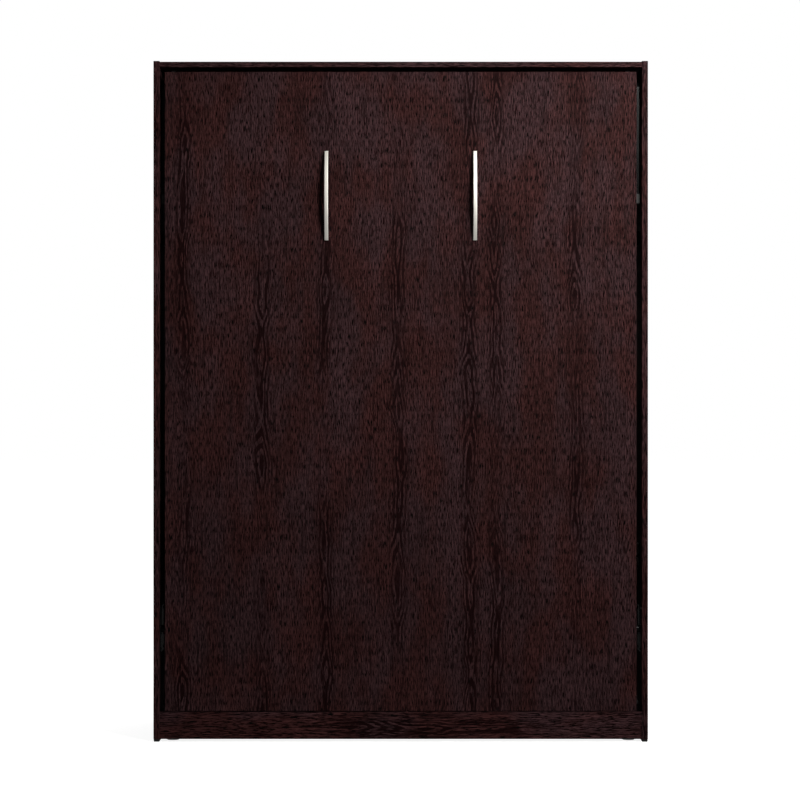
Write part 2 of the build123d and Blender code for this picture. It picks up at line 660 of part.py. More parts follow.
def make_leg_boot(name, side):
    """The rubber boot on the end of a leg."""
    low = LEG_PIVOT_Z - LEG_REACH
    x = (side * LEG_BOOT_X[0], side * LEG_BOOT_X[1])
    y = (LEG_PIVOT_Y - LEG_BOOT_WIDTH / 2, LEG_PIVOT_Y + LEG_BOOT_WIDTH / 2)
    bar_y = (LEG_PIVOT_Y - LEG_WIDTH / 2, LEG_PIVOT_Y + LEG_WIDTH / 2)
    bar_x = (side * LEG_X[0], side * LEG_X[1])
    with BuildPart() as boot:
        block(x, y, (low, low + LEG_BOOT_HEIGHT))
        fillet(boot.edges().filter_by(Axis.X), 5)
        block(bar_x, bar_y, (low + 4, low + LEG_BOOT_HEIGHT), mode=Mode.SUBTRACT)
    save(boot, f"leg_boot_{name}")


def make_leg_bolts():
    """The shouldered bolts that the legs hang on, with a spacer tube against the rail."""
    head_radius, head, head_gap = 9.0, 2.5, 0.3
    spacer_radius, spacer_gap = 9.0, 0.3
    y, z = LEG_PIVOT_Y, LEG_PIVOT_Z
    with BuildPart() as bolts:
        for side in SIDES.values():
            far = LEG_X[1] + head_gap
            bar(LEG_BOLT_RADIUS, (side * (RAIL_INNER_X - 6), y, z), (side * far, y, z))
            bar(spacer_radius, (side * RAIL_OUTER_X, y, z), (side * (LEG_X[0] - spacer_gap), y, z))
            bar(head_radius, (side * far, y, z), (side * (far + head), y, z))
    save(bolts, "leg_bolts")


def make_hoop(name, z):
    """A bent steel tube that keeps one end of the mattress on the slats."""
    with BuildPart() as hoop:
        with BuildLine() as path:
            x, low, high = HOOP_HALF_WIDTH, RAIL_Y[1], HOOP_TOP_Y
            FilletPolyline((-x, low, z), (-x, high, z), (x, high, z), (x, low, z), radius=HOOP_BEND_RADIUS)
        with BuildSketch(Plane(origin=path.line @ 0, z_dir=path.line % 0)):
            Circle(HOOP_RADIUS)
            Circle(HOOP_RADIUS - HOOP_WALL, mode=Mode.SUBTRACT)
        sweep()
    save(hoop, name)


def make_pull(name, side):
    """A bow pull: an arched bar on two feet, tapped for its screws."""
    face, x = DOOR_Y[0], side * PULL_X
    low, high = PULL_Z - PULL_LENGTH / 2, PULL_Z + PULL_LENGTH / 2
    crown = face - PULL_PROJECTION
    with BuildPart() as pull:
        with BuildSketch(Plane(origin=(x, 0, 0), x_dir=(0, 1, 0), z_dir=(1, 0, 0))):
            with BuildLine():
                Line((face, low), (face - PULL_END_HEIGHT, low))
                ThreePointArc((face - PULL_END_HEIGHT, low), (crown, PULL_Z), (face - PULL_END_HEIGHT, high))
                Line((face - PULL_END_HEIGHT, high), (face, high))
                Line((face, high), (face, high - PULL_FOOT))
                ThreePointArc((face, high - PULL_FOOT), (crown + PULL_THICKNESS, PULL_Z), (face, low + PULL_FOOT))
                Line((face, low + PULL_FOOT), (face, low))
            make_face()
        extrude(amount=PULL_WIDTH / 2, both=True)
        front_edges = pull.edges().filter_by(GeomType.CIRCLE).group_by(Axis.Y)[0]
        fillet(front_edges, 2)
        for screw_x, z in pull_screw_points():
            if screw_x * side > 0:
                bar(PULL_SCREW_RADIUS, (x, face, z), (x, face - PULL_SCREW_DEPTH, z), mode=Mode.SUBTRACT)
    save(pull, f"pull_{name}")


def make_pull_screws():
    """The screws that hold the pulls from inside the door."""
    head_radius, head, slack = 4.0, 2.0, 0.05
    with BuildPart() as screws:
        for x, z in pull_screw_points():
            tip = DOOR_Y[0] - PULL_SCREW_DEPTH + 0.5
            bar(PULL_SCREW_RADIUS - slack, (x, DOOR_Y[1], z), (x, tip, z))
            bar(head_radius, (x, DOOR_Y[1], z), (x, DOOR_Y[1] + head, z))
    save(screws, "pull_screws")


def make_frame_bolts():
    """The long bolts that clamp the side rails to the door."""
    head_radius, head, slack = 6.0, 3.0, 0.05
    with BuildPart() as bolts:
        for x, z in frame_bolt_points():
            tip = DOOR_Y[1] - FRAME_BOLT_BITE + 0.5
            bar(FRAME_BOLT_RADIUS - slack, (x, RAIL_Y[1], z), (x, tip, z))
            bar(head_radius, (x, RAIL_Y[1], z), (x, RAIL_Y[1] + head, z))
    save(bolts, "frame_bolts")


def rounded_slab(inset):
    """The mattress's rounded slab, drawn in on every side by the inset."""
    width, thickness, length = MATTRESS_SIZE
    x = (-width / 2 + inset, width / 2 - inset)
    y = (MATTRESS_Y + inset, MATTRESS_Y + thickness - inset)
    z = (MATTRESS_Z + inset, MATTRESS_Z + length - inset)
    with BuildPart() as slab:
        block(x, y, z)
        fillet(slab.edges().filter_by(Axis.Y), MATTRESS_CORNER_RADIUS - inset)
        fillet(slab.faces().filter_by(Axis.Y).edges(), MATTRESS_EDGE_RADIUS - inset)
    return slab.part


def make_mattress():
    """The mattress: its padding, closed all round the hollow where its springs are."""
    outside, core = rounded_slab(0), rounded_slab(MATTRESS_PADDING)
    with BuildPart() as mattress:
        add(outside)
        add(core, mode=Mode.SUBTRACT)
    save(mattress, "mattress")


def make_straps():
    """Two webbing straps over the mattress, with tabs on the side rails."""
    inner = (MATTRESS_SIZE[0] / 2 + STRAP_GAP, MATTRESS_Y + MATTRESS_SIZE[1] + STRAP_GAP)
    outer = (inner[0] + STRAP_THICKNESS, inner[1] + STRAP_THICKNESS)
    with BuildPart() as straps:
        for low_z in STRAP_Z:
            z = (low_z, low_z + STRAP_WIDTH)
            block((-outer[0], outer[0]), (RAIL_Y[1], outer[1]), z)
            block((-inner[0], inner[0]), (RAIL_Y[1], inner[1]), z, mode=Mode.SUBTRACT)
            for side in SIDES.values():
                x = (side * outer[0], side * (outer[0] + STRAP_TAB))
                block(x, (RAIL_Y[1], RAIL_Y[1] + STRAP_THICKNESS), z)
    save(straps, "mattress_straps")


def main():
    """Builds every piece of the cabinet, then of the bed, then of the parts that swing between them."""
    os.makedirs("parts", exist_ok=True)

    cabinet_y = (FRONT_Y + TOP_SETBACK, BACK_Y)
    make_cross_board("top_panel", cabinet_y, TOP_Z)
    make_cross_board("kick_board", KICK_Y, KICK_Z)
    make_cross_board("base_board", BASE_BOARD_Y, BASE_BOARD_Z)
    make_cross_board("upper_wall_rail", REAR_BOARD_Y, UPPER_RAIL_Z)
    make_cross_board("headboard_panel", REAR_BOARD_Y, HEADBOARD_Z)
    make_cross_board("lower_rear_rail", REAR_BOARD_Y, LOWER_RAIL_Z)
    make_cam_locks()
    make_glides()
    make_foot_inserts()
    make_stop_brackets()
    make_stop_bumpers()
    make_plate_screws()

    make_door_panel()
    make_end_rail("head_rail", FRAME_Z[0])
    make_end_rail("foot_rail", FRAME_Z[1] - RAIL_WIDTH)
    make_rail_caps()
    make_centre_beam()
    make_cross_bars()
    for index in range(SLAT_COUNT):
        make_slat(index)
    make_slat_holders()
    make_pivot_bushes()
    make_ball_studs()
    make_leg_bolts()
    make_hoop("head_hoop", FRAME_Z[0] + RAIL_WIDTH / 2)
    make_hoop("foot_hoop", FRAME_Z[1] - RAIL_WIDTH / 2)
    make_pull_screws()
    make_frame_bolts()
    make_mattress()
    make_straps()

    for name, side in SIDES.items():
        make_side_panel(name, side)
        make_pivot_plate(name, side)
        make_strut_bracket(name, side)
        make_levelling_foot(name, side)
        make_side_rail(name, side)
        make_pull(name, side)
        make_strut_cylinder(name, side)
        make_strut_rod(name, side)
        make_leg(name, side)
        make_leg_boot(name, side)


main()
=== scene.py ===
"""The finished look of a full-size wall bed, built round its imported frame.

Metres, in the frame's own axes: X across the bed, Y from its front to the wall, Z up, folded up at rest.
"""

from __future__ import annotations

import logging
import math
from abc import ABC, abstractmethod
from dataclasses import dataclass, field
from enum import Enum
from typing import Any, Callable, Sequence

import bmesh
import bpy
import numpy as np
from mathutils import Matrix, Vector

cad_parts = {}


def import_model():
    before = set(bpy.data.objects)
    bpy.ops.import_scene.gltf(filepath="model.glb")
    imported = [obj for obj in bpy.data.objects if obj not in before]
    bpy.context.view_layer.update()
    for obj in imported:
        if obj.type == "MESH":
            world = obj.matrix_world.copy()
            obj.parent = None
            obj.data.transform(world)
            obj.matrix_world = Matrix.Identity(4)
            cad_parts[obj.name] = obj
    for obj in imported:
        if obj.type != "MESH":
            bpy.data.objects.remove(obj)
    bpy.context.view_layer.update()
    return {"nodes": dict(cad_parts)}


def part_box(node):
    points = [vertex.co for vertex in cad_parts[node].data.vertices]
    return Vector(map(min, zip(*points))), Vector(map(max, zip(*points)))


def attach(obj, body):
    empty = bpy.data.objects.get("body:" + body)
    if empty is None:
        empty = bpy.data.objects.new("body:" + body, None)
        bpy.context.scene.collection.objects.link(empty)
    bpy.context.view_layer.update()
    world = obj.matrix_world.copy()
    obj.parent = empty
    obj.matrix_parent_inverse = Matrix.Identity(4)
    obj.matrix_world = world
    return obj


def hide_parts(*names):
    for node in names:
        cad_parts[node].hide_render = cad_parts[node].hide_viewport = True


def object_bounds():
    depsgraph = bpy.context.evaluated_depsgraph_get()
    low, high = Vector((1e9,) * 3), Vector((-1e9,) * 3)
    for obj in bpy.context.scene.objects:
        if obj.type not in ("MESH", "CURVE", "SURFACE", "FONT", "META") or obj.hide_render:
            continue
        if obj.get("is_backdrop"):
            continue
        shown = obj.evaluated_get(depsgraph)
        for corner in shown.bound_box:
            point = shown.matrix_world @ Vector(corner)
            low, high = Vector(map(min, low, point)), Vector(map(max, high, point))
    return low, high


log = logging.getLogger("wall_bed")

Array = np.ndarray
Colour = tuple[float, float, float]
Inputs = dict[Any, Any]
MM = 0.001
SIDES = {"left": -1.0, "right": 1.0}


# ---- shader maths ----


class Wire:
    """An output socket. Python's operators on it add Math nodes."""

    def __init__(self, graph: Graph, socket: bpy.types.NodeSocket) -> None:
        """Wraps an output socket of a graph."""
        self.graph = graph
        self.socket = socket

    def math(self, operation: str, *values: Any) -> Wire:
        """Applies one Math node to numbers or wires."""
        return self.graph.math(operation, *values)

    def __add__(self, other: Any) -> Wire:
        """Sum."""
        return self.math("ADD", self, other)

    def __radd__(self, other: Any) -> Wire:
        """Sum, reflected."""
        return self.math("ADD", other, self)

    def __sub__(self, other: Any) -> Wire:
        """Difference."""
        return self.math("SUBTRACT", self, other)

    def __rsub__(self, other: Any) -> Wire:
        """Difference, reflected."""
        return self.math("SUBTRACT", other, self)

    def __mul__(self, other: Any) -> Wire:
        """Product."""
        return self.math("MULTIPLY", self, other)

    def __rmul__(self, other: Any) -> Wire:
        """Product, reflected."""
        return self.math("MULTIPLY", other, self)

    def __truediv__(self, other: Any) -> Wire:
        """Quotient."""
        return self.math("DIVIDE", self, other)

    def __abs__(self) -> Wire:
        """Absolute value."""
        return self.math("ABSOLUTE", self)

    def sine(self) -> Wire:
        """Sine of the value in radians."""
        return self.math("SINE", self)

    def root(self) -> Wire:
        """Square root."""
        return self.math("SQRT", self)

    def step(self, low: float, high: float, start: float = 0.0, end: float = 1.0) -> Wire:
        """Turns smoothly from start, up to low, to end, from high on."""
        settings = {"interpolation_type": "SMOOTHSTEP"}
        return self.graph.node("ShaderNodeMapRange", settings, {0: self, 1: low, 2: high, 3: start, 4: end})


class Graph:
    """The nodes of one material or world."""

    def __init__(self, owner: bpy.types.Material | bpy.types.World) -> None:
        """Empties the owner's node tree.

        Args:
            owner: the material or world.
        """
        self.owner = owner
        owner.use_nodes = True
        self.tree = owner.node_tree
        self.tree.nodes.clear()

    def node(
        self, kind: str, settings: dict[str, Any] | None = None, inputs: Inputs | None = None, output: Any = 0
    ) -> Wire:
        """Adds a node.

        Args:
            kind: the node's type.
            settings: its properties, set first.
            inputs: values or wires for its inputs, by name or index.
            output: the output that is returned, by name or index.

        Returns:
            That output.
        """
        made = self.tree.nodes.new(kind)
        for key, value in (settings or {}).items():
            setattr(made, key, value)
        for key, value in (inputs or {}).items():
            self.feed(made.inputs[key], value)
        return Wire(self, made.outputs[output])

    def math(self, operation: str, *values: Any) -> Wire:
        """Applies one Math node to numbers or wires."""
        return self.node("ShaderNodeMath", {"operation": operation}, dict(enumerate(values)))

    def feed(self, socket: bpy.types.NodeSocket, value: Any) -> None:
        """Links a wire to a socket, or sets a value on it.

        Args:
            socket: the input socket.
            value: a wire, a number, a colour or a vector.
        """
        if isinstance(value, Wire):
            self.tree.links.new(value.socket, socket)
        elif socket.type == "RGBA" and len(value) == 3:
            socket.default_value = (*value, 1.0)
        else:
            socket.default_value = value

    def split(self, vector: Wire) -> tuple[Wire, ...]:
        """Splits a vector into X, Y and Z."""
        made = self.node("ShaderNodeSeparateXYZ", inputs={0: vector}).socket.node
        return tuple(Wire(self, socket) for socket in made.outputs)

    def place(self) -> tuple[Wire, ...]:
        """Returns the point on the piece as X, Y and Z in the frame's axes."""
        return self.split(self.node("ShaderNodeTexCoord", output="Object"))

    def point(self, x: Any, y: Any, z: Any) -> Wire:
        """Joins three values into a vector."""
        return self.node("ShaderNodeCombineXYZ", inputs={0: x, 1: y, 2: z})

    def noise(self, x: Any, y: Any, z: Any, detail: float = 2.0, roughness: float = 0.5) -> Wire:
        """Noise between 0 and 1 at a scaled point, with cells about one unit wide and finer layers."""
        inputs = {"Vector": self.point(x, y, z), "Scale": 1.0, "Detail": detail, "Roughness": roughness}
        return self.node("ShaderNodeTexNoise", {"noise_dimensions": "3D"}, inputs)

    def grit(self, place: Sequence[Wire], scale: float, detail: float, roughness: float = 0.5) -> Wire:
        """Even noise over a piece, with that many cells a metre."""
        return self.noise(*(wire * scale for wire in place), detail, roughness)

    def blend(self, factor: Any, first: Any, second: Any) -> Wire:
        """Mixes two colours, by how much of the second there is."""
        settings = {"data_type": "RGBA", "blend_type": "MIX", "clamp_factor": True}
        return self.node("ShaderNodeMix", settings, {0: factor, 6: first, 7: second}, output=2)

    def shade(self, tone: Any, level: Wire) -> Wire:
        """Multiplies a colour by a number."""
        settings = {"data_type": "RGBA", "blend_type": "MULTIPLY", "clamp_factor": True}
        return self.node("ShaderNodeMix", settings, {0: 1.0, 6: tone, 7: self.point(level, level, level)}, output=2)

    def bump(self, height: Wire, distance: float, strength: float) -> Wire:
        """Turns a height from 0 to 1 into a bumped normal, where 1 is as high as the distance."""
        return self.node("ShaderNodeBump", inputs={"Height": height, "Distance": distance, "Strength": strength})

    def end(self, kind: str, surface: Wire) -> None:
        """Sends a surface to an output node of that kind."""
        made = self.tree.nodes.new(kind)
        self.feed(made.inputs["Surface"], surface)


def material(name: str, build: Callable[[Graph], Inputs]) -> bpy.types.Material:
    """Makes a material with one Principled shader.

    Args:
        name: the material's name.
        build: works out the shader's inputs in a graph.

    Returns:
        The material.
    """
    graph = Graph(bpy.data.materials.new(name))
    graph.end("ShaderNodeOutputMaterial", graph.node("ShaderNodeBsdfPrincipled", inputs=build(graph)))
    return graph.owner


# ---- finishes ----


class Grain(Enum):
    """The way a board's grain runs, as the index of its axis."""

    ACROSS = 0
    UP = 2


class Finish(ABC):
    """A surface finish."""

    @abstractmethod
    def inputs(self, g: Graph) -> Inputs:
        """Works out the shader's inputs.

        Args:
            g: the material's graph.

        Returns:
            Values and wires, by the names of the shader's inputs.
        """

    def make(self, name: str) -> bpy.types.Material:
        """Builds the finish as a material with that name."""
        return material(name, self.inputs)


@dataclass(frozen=True)
class WengeLaminate(Finish):
    """Dark wenge-look laminate: broken pores and fibres, with narrow columns of cathedral figure.

    The hearts are where the columns stand across the board, and face is the board's own Y, or 0 for a board
    whose depth runs across its grain.
    """

    grain: Grain
    hearts: tuple[float, ...]
    face: float = 0.0
    seed: float = 0.0
    red: Colour = (0.0335, 0.0112, 0.0108)
    violet: Colour = (0.0345, 0.0158, 0.0174)
    pore: Colour = (0.0050, 0.0002, 0.0005)
    gain: float = 1.0
    ring_width: float = 0.0115
    sway: float = 0.150
    tip: float = 0.0030

    def inputs(self, g: Graph) -> Inputs:
        """Builds the laminate.

        A ring is where a heart's distance, rounded off at its tip, plus a slow wander along the grain
        comes to a whole number of ring widths. The wander turns each ring into a narrow V, and where it
        turns back the ring closes into a long eye.

        Args:
            g: the material's graph.

        Returns:
            The shader's inputs.
        """
        x, y, z = g.place()
        along, across = (x, z) if self.grain is Grain.ACROSS else (z, x)
        depth = y - self.face
        board = across + depth
        drift = g.noise(board * 3.5, self.seed, along * 1.7, 1.0) - 0.5
        shiver = g.noise(board * 34, self.seed, along * 9.0, 2.0) - 0.5
        lane = board + drift * 0.040 + shiver * 0.0055

        def streaks(thin: float, long: float, shift: float, detail: float, roughness: float = 0.5) -> Wire:
            """Noise with that many cells a metre across and along the grain."""
            return g.noise(lane * thin, self.seed + shift, along * long, detail, roughness)

        away = abs(lane - self.hearts[0])
        for heart in self.hearts[1:]:
            away = g.math("MINIMUM", away, abs(lane - heart))
        wander = streaks(4.5, 2.7, 5.0, 2.0, 0.55)
        ring = (((away * away + self.tip**2).root() + wander * self.sway) / self.ring_width * math.tau).sine()
        worn = streaks(85, 16, 8.0, 2.0, 0.6)
        present = streaks(3.6, 1.9, 2.0, 1.0).step(0.38, 0.54, 0.18, 1.0)
        near = away.step(0.011, 0.034, 1.0, 0.10) * present
        figure = ring.step(-0.35, 0.10) * near * worn.step(0.30, 0.46, 0.35, 1.0)

        fibre = g.noise(lane * 620, depth * 3 + self.seed, along * 46, 2.0, 0.6)
        strand = streaks(400, 5.5, 0.0, 2.0, 0.6)
        flecks = streaks(560, 30, 4.0, 1.0, 0.4)
        fine = g.noise(lane * 1300, depth * 9, along * 80, 1.0)
        cloud = streaks(8.5, 4.0, 1.0, 2.0)
        crowd = streaks(22, 8.0, 3.0, 2.0)
        pores = flecks.step(0.54, 0.585) * crowd.step(0.34, 0.60, 0.50, 1.0)

        body = g.blend(cloud.step(0.38, 0.62), self.violet, self.red)
        level = fibre.step(0.42, 0.52, 0.0, 1.52) * strand.step(0.37, 0.53, 0.46, 1.16) * self.gain
        level = level * streaks(4.6, 2.6, 6.0, 1.0).step(0.3, 0.7, 0.89, 1.09)
        tone = g.shade(body, level)
        tone = g.blend(pores * 0.80, tone, self.pore)
        tone = g.blend(figure * 0.90, tone, self.pore)
        height = fibre * 0.4 + fine * 0.2 + 0.4 * (1 - pores)
        rough = 0.62 + pores * 0.14 + fine * 0.06
        return {
            "Base Color": tone, "Roughness": rough, "Specular IOR Level": 0.045,
            "Normal": g.bump(height, 0.00016, 0.5),
        }


@dataclass(frozen=True)
class BrushedMetal(Finish):
    """Metal with fine scratches along one axis."""

    colour: Colour
    roughness: float
    along: int = 2
    spread: float = 0.06
    depth: float = 0.00002

    def inputs(self, g: Graph) -> Inputs:
        """Builds the metal: scratches are noise drawn out along the brushing.

        Args:
            g: the material's graph.

        Returns:
            The shader's inputs.
        """
        scale = [2600.0, 2600.0, 2600.0]
        scale[self.along] = 45.0
        place = g.place()
        scratch = g.noise(*(wire * factor for wire, factor in zip(place, scale)), 3.0, 0.6)
        cloud = g.grit(place, 60, 2.0)
        shade = scratch.step(0.2, 0.8, 0.90, 1.05)
        tone = g.shade(self.colour, shade)
        rough = self.roughness + (scratch - 0.5) * self.spread * 2 + (cloud - 0.5) * self.spread
        return {
            "Base Color": tone, "Metallic": 1.0, "Roughness": rough, "Normal": g.bump(scratch, self.depth, 0.6),
        }


@dataclass(frozen=True)
class PowderCoat(Finish):
    """Powder-coated steel, with a fine orange peel."""

    colour: Colour
    roughness: float = 0.42
    peel: float = 900.0
    shine: float = 0.5

    def inputs(self, g: Graph) -> Inputs:
        """Builds the coat: the peel is fine noise, and dust lightens it in soft clouds.

        Args:
            g: the material's graph.

        Returns:
            The shader's inputs.
        """
        place = g.place()
        peel = g.grit(place, self.peel, 2.0)
        cloud = g.grit(place, 14, 3.0)
        light = tuple(channel * 1.9 + 0.0006 for channel in self.colour)
        tone = g.blend(cloud.step(0.35, 0.75, 0.0, 0.5), self.colour, light)
        rough = self.roughness + (cloud - 0.5) * 0.16 + (peel - 0.5) * 0.08
        return {
            "Base Color": tone, "Roughness": rough, "Specular IOR Level": self.shine,
            "Normal": g.bump(peel, 0.00006, 0.5),
        }


@dataclass(frozen=True)
class PlatedSteel(Finish):
    """Zinc-plated or chromed steel, slightly clouded."""

    colour: Colour
    roughness: float
    spread: float = 0.12

    def inputs(self, g: Graph) -> Inputs:
        """Builds the plate: soft clouds vary its colour and gloss.

        Args:
            g: the material's graph.

        Returns:
            The shader's inputs.
        """
        place = g.place()
        cloud = g.grit(place, 110, 3.0, 0.6)
        grit = g.grit(place, 1800, 1.0)
        dull = tuple(channel * 0.78 for channel in self.colour)
        tone = g.blend(cloud.step(0.35, 0.7), self.colour, dull)
        rough = self.roughness + (cloud - 0.5) * self.spread
        return {
            "Base Color": tone, "Metallic": 1.0, "Roughness": rough, "Normal": g.bump(grit, 0.00001, 0.5),
        }


@dataclass(frozen=True)
class Moulded(Finish):
    """Moulded plastic or rubber with a fine spark texture."""

    colour: Colour
    roughness: float = 0.5
    texture: float = 1400.0
    depth: float = 0.00005

    def inputs(self, g: Graph) -> Inputs:
        """Builds the moulding: fine grain on the surface, and soft patches of wear.

        Args:
            g: the material's graph.

        Returns:
            The shader's inputs.
        """
        place = g.place()
        grit = g.grit(place, self.texture, 2.0)
        cloud = g.grit(place, 40, 2.0)
        worn = tuple(min(1.0, channel * 1.35 + 0.004) for channel in self.colour)
        tone = g.blend(cloud.step(0.4, 0.8, 0.0, 0.7), self.colour, worn)
        rough = self.roughness + (cloud - 0.5) * 0.14
        return {"Base Color": tone, "Roughness": rough, "Normal": g.bump(grit, self.depth, 0.6)}


@dataclass(frozen=True)
class BeechPly(Finish):
    """Lacquered beech plywood, bowed across the bed: plies on its edges and flecks on its faces."""

    end_y: float
    rise: float
    half_length: float
    ply: float = 0.0013
    pale: Colour = (0.58, 0.375, 0.205)
    warm: Colour = (0.47, 0.275, 0.135)
    fleck: Colour = (0.30, 0.155, 0.070)

    def inputs(self, g: Graph) -> Inputs:
        """Builds the ply: its layers follow the slat's bow, a parabola in the distance from the middle.

        Args:
            g: the material's graph.

        Returns:
            The shader's inputs.
        """
        x, y, z = g.place()
        level = y - self.end_y - (1 - (x * x) / self.half_length**2) * self.rise
        layer = ((level / self.ply) * math.pi).sine().step(-0.25, 0.25)
        grain = g.noise(x * 9, level * 90, z * 160, 3.0, 0.6)
        broad = g.noise(x * 2.2, 1.0, z * 26, 2.0)
        flecks = g.noise(x * 70, level * 400, z * 620, 1.0).step(0.60, 0.72)
        tone = g.blend(grain.step(0.3, 0.7) * 0.7 + broad * 0.3, self.pale, self.warm)
        tone = g.blend(flecks * 0.6, tone, self.fleck)
        tone = g.blend(layer * 0.30, tone, self.warm)
        rough = 0.34 + grain * 0.14
        return {
            "Base Color": tone, "Roughness": rough, "Coat Weight": 0.25, "Coat Roughness": 0.3,
            "Normal": g.bump(grain + flecks * 0.5, 0.0001, 0.5),
        }


@dataclass(frozen=True)
class Ticking(Finish):
    """Knitted mattress ticking. The piece's "stitch" attribute is 1 on its sewn lines."""

    ground: Colour = (0.76, 0.735, 0.68)
    motif: Colour = (0.62, 0.60, 0.555)
    thread: Colour = (0.52, 0.50, 0.46)

    def inputs(self, g: Graph) -> Inputs:
        """Builds the knit: ribs are a sine across the cloth, broken by a sine along it.

        Args:
            g: the material's graph.

        Returns:
            The shader's inputs.
        """
        x, y, z = g.place()
        side = x + y
        rib = (side * (math.tau / 0.0026)).sine()
        loop = (z * (math.tau / 0.0020)).sine()
        knit = (rib * loop).step(-0.8, 0.8)
        leaf = (side * (math.tau / 0.052)).sine() * (z * (math.tau / 0.074)).sine()
        swirl = g.noise(x * 30, y * 30, z * 30, 2.0)
        pattern = (leaf + (swirl - 0.5) * 1.6).step(0.05, 0.35)
        stitch = g.node("ShaderNodeAttribute", {"attribute_name": "stitch"}, output="Fac")
        fuzz = g.noise(x * 700, y * 700, z * 700, 2.0)
        tone = g.blend(pattern * 0.55, self.ground, self.motif)
        tone = g.blend(stitch * 0.75, tone, self.thread)
        # Painted shade: the knit's hollows are darkened towards the thread colour; the fuzz adds random tone.
        tone = g.blend((1 - knit) * 0.22 + fuzz * 0.10, tone, self.thread)
        rough = 0.86 + fuzz * 0.1
        height = knit * 0.5 + pattern * 0.35 + fuzz * 0.15
        return {
            "Base Color": tone, "Roughness": rough, "Sheen Weight": 0.25, "Sheen Roughness": 0.5,
            "Normal": g.bump(height, 0.0004, 0.55),
        }


@dataclass(frozen=True)
class Webbing(Finish):
    """Woven tape that follows the piece's UV map, in metres along and across it."""

    colour: Colour
    pitch: float = 0.0022
    depth: float = 0.0005

    def inputs(self, g: Graph) -> Inputs:
        """Builds the weave: two slanted sines whose product gives the herringbone of a belt.

        Args:
            g: the material's graph.

        Returns:
            The shader's inputs.
        """
        along, across, _ = g.split(g.node("ShaderNodeUVMap", {"uv_map": "weave"}))
        tent = abs((across * (math.pi / 0.0125)).sine())
        slant = (along + tent * 0.004) * (math.tau / self.pitch)
        warp = (across * (math.tau / (self.pitch * 0.8))).sine()
        rows = slant.sine()
        weave = (rows * 0.6 + warp * 0.4).step(-0.8, 0.8)
        wear = g.noise(along * 40, across * 90, 0.0, 3.0)
        pale = tuple(min(1.0, channel * 2.1 + 0.01) for channel in self.colour)
        # Painted highlight: the raised rows of the weave are lightened towards the pale colour; the wear noise adds
        # random lightening.
        tone = g.blend(weave * 0.45 + wear * 0.25, self.colour, pale)
        rough = 0.70 + (1 - weave) * 0.2
        return {
            "Base Color": tone, "Roughness": rough, "Sheen Weight": 0.15,
            "Normal": g.bump(weave, self.depth, 0.6),
        }


@dataclass(frozen=True)
class StrutRodSteel(Finish):
    """A chromed rod with a black socket below a height."""

    socket_top: float
    chrome: Colour = (0.66, 0.67, 0.68)
    black: Colour = (0.007, 0.007, 0.0075)

    def inputs(self, g: Graph) -> Inputs:
        """Builds the rod: the socket is moulded plastic, and the rest is ground and chromed.

        Args:
            g: the material's graph.

        Returns:
            The shader's inputs.
        """
        x, y, z = g.place()
        turned = g.noise(x * 300, y * 300, z * 2600, 2.0)
        rod = z.step(self.socket_top, self.socket_top + 0.0004)
        tone = g.blend(rod, self.black, self.chrome)
        rough = 0.62 - rod * 0.50 + (turned - 0.5) * 0.08
        return {
            "Base Color": tone, "Metallic": rod, "Roughness": rough, "Specular IOR Level": 0.10,
            "Normal": g.bump(turned, 0.00001, 0.4),
        }


# ---- mesh tools ----


def mesh_object(name: str, points: Array, faces: Sequence[Array], smooth: bool = True) -> bpy.types.Object:
    """Makes a mesh object in place, with its own object at the origin.

    Args:
        name: the piece's name.
        points: vertices, one row each.
        faces: arrays of vertex indices, one row a face.
        smooth: whether its faces are shaded smooth.

    Returns:
        The object, linked to the scene.
    """
    mesh = bpy.data.meshes.new(name)
    rows = [row for block in faces for row in block.tolist()]
    mesh.from_pydata(points.tolist(), [], rows)
    mesh.update()
    mesh.polygons.foreach_set("use_smooth", np.full(len(mesh.polygons), smooth))
    made = bpy.data.objects.new(name, mesh)
    bpy.context.scene.collection.objects.link(made)
    return made


def grid_faces(rows: int, columns: int, close_rows: bool = False, close_columns: bool = False) -> Array:
    """Numbers the quads of a grid of points.

    Args:
        rows: points along the first parameter.
        columns: points along the second.
        close_rows: whether the last row joins the first.
        close_columns: whether the last column joins the first.

    Returns:
        Four vertex indices a quad.
    """
    i = np.arange(rows if close_rows else rows - 1)
    j = np.arange(columns if close_columns else columns - 1)
    a, b = np.meshgrid(i, j, indexing="ij")
    c, d = (a + 1) % rows, (b + 1) % columns
    corners = (a * columns + b, c * columns + b, c * columns + d, a * columns + d)
    return np.stack([corner.ravel() for corner in corners], axis=1)


def weld(piece: bpy.types.Object, distance: float = 1e-5) -> None:
    """Merges doubled vertices and turns every face outwards.

    Args:
        piece: a mesh object.
        distance: how near two vertices merge.
    """
    shape = bmesh.new()
    shape.from_mesh(piece.data)
    bmesh.ops.remove_doubles(shape, verts=shape.verts, dist=distance)
    bmesh.ops.recalc_face_normals(shape, faces=shape.faces)
    shape.to_mesh(piece.data)
    shape.free()


def circle(radius: float, count: int) -> Array:
    """A circle's points: the radius times the cosine and sine of evenly stepped angles."""
    turn = np.linspace(0, math.tau, count + 1)[:-1]
    return radius * np.stack([np.cos(turn), np.sin(turn)], axis=1)


def rounded_rectangle(half_width: float, half_height: float, radius: float, steps: int = 8) -> Array:
    """A closed outline with round corners, anticlockwise.

    Args:
        half_width: half its size along the first axis.
        half_height: half its size along the second.
        radius: the corners' radius.
        steps: points on each corner.

    Returns:
        Points, one row each: each corner's centre plus the radius at evenly stepped angles.
    """
    turn = np.linspace(0, math.pi / 2, steps)
    quarters = []
    for index, (sx, sy) in enumerate(((1, 1), (-1, 1), (-1, -1), (1, -1))):
        angle = turn + index * math.pi / 2
        centre = np.array([sx * (half_width - radius), sy * (half_height - radius)])
        quarters.append(centre + radius * np.stack([np.cos(angle), np.sin(angle)], axis=1))
    return np.concatenate(quarters)


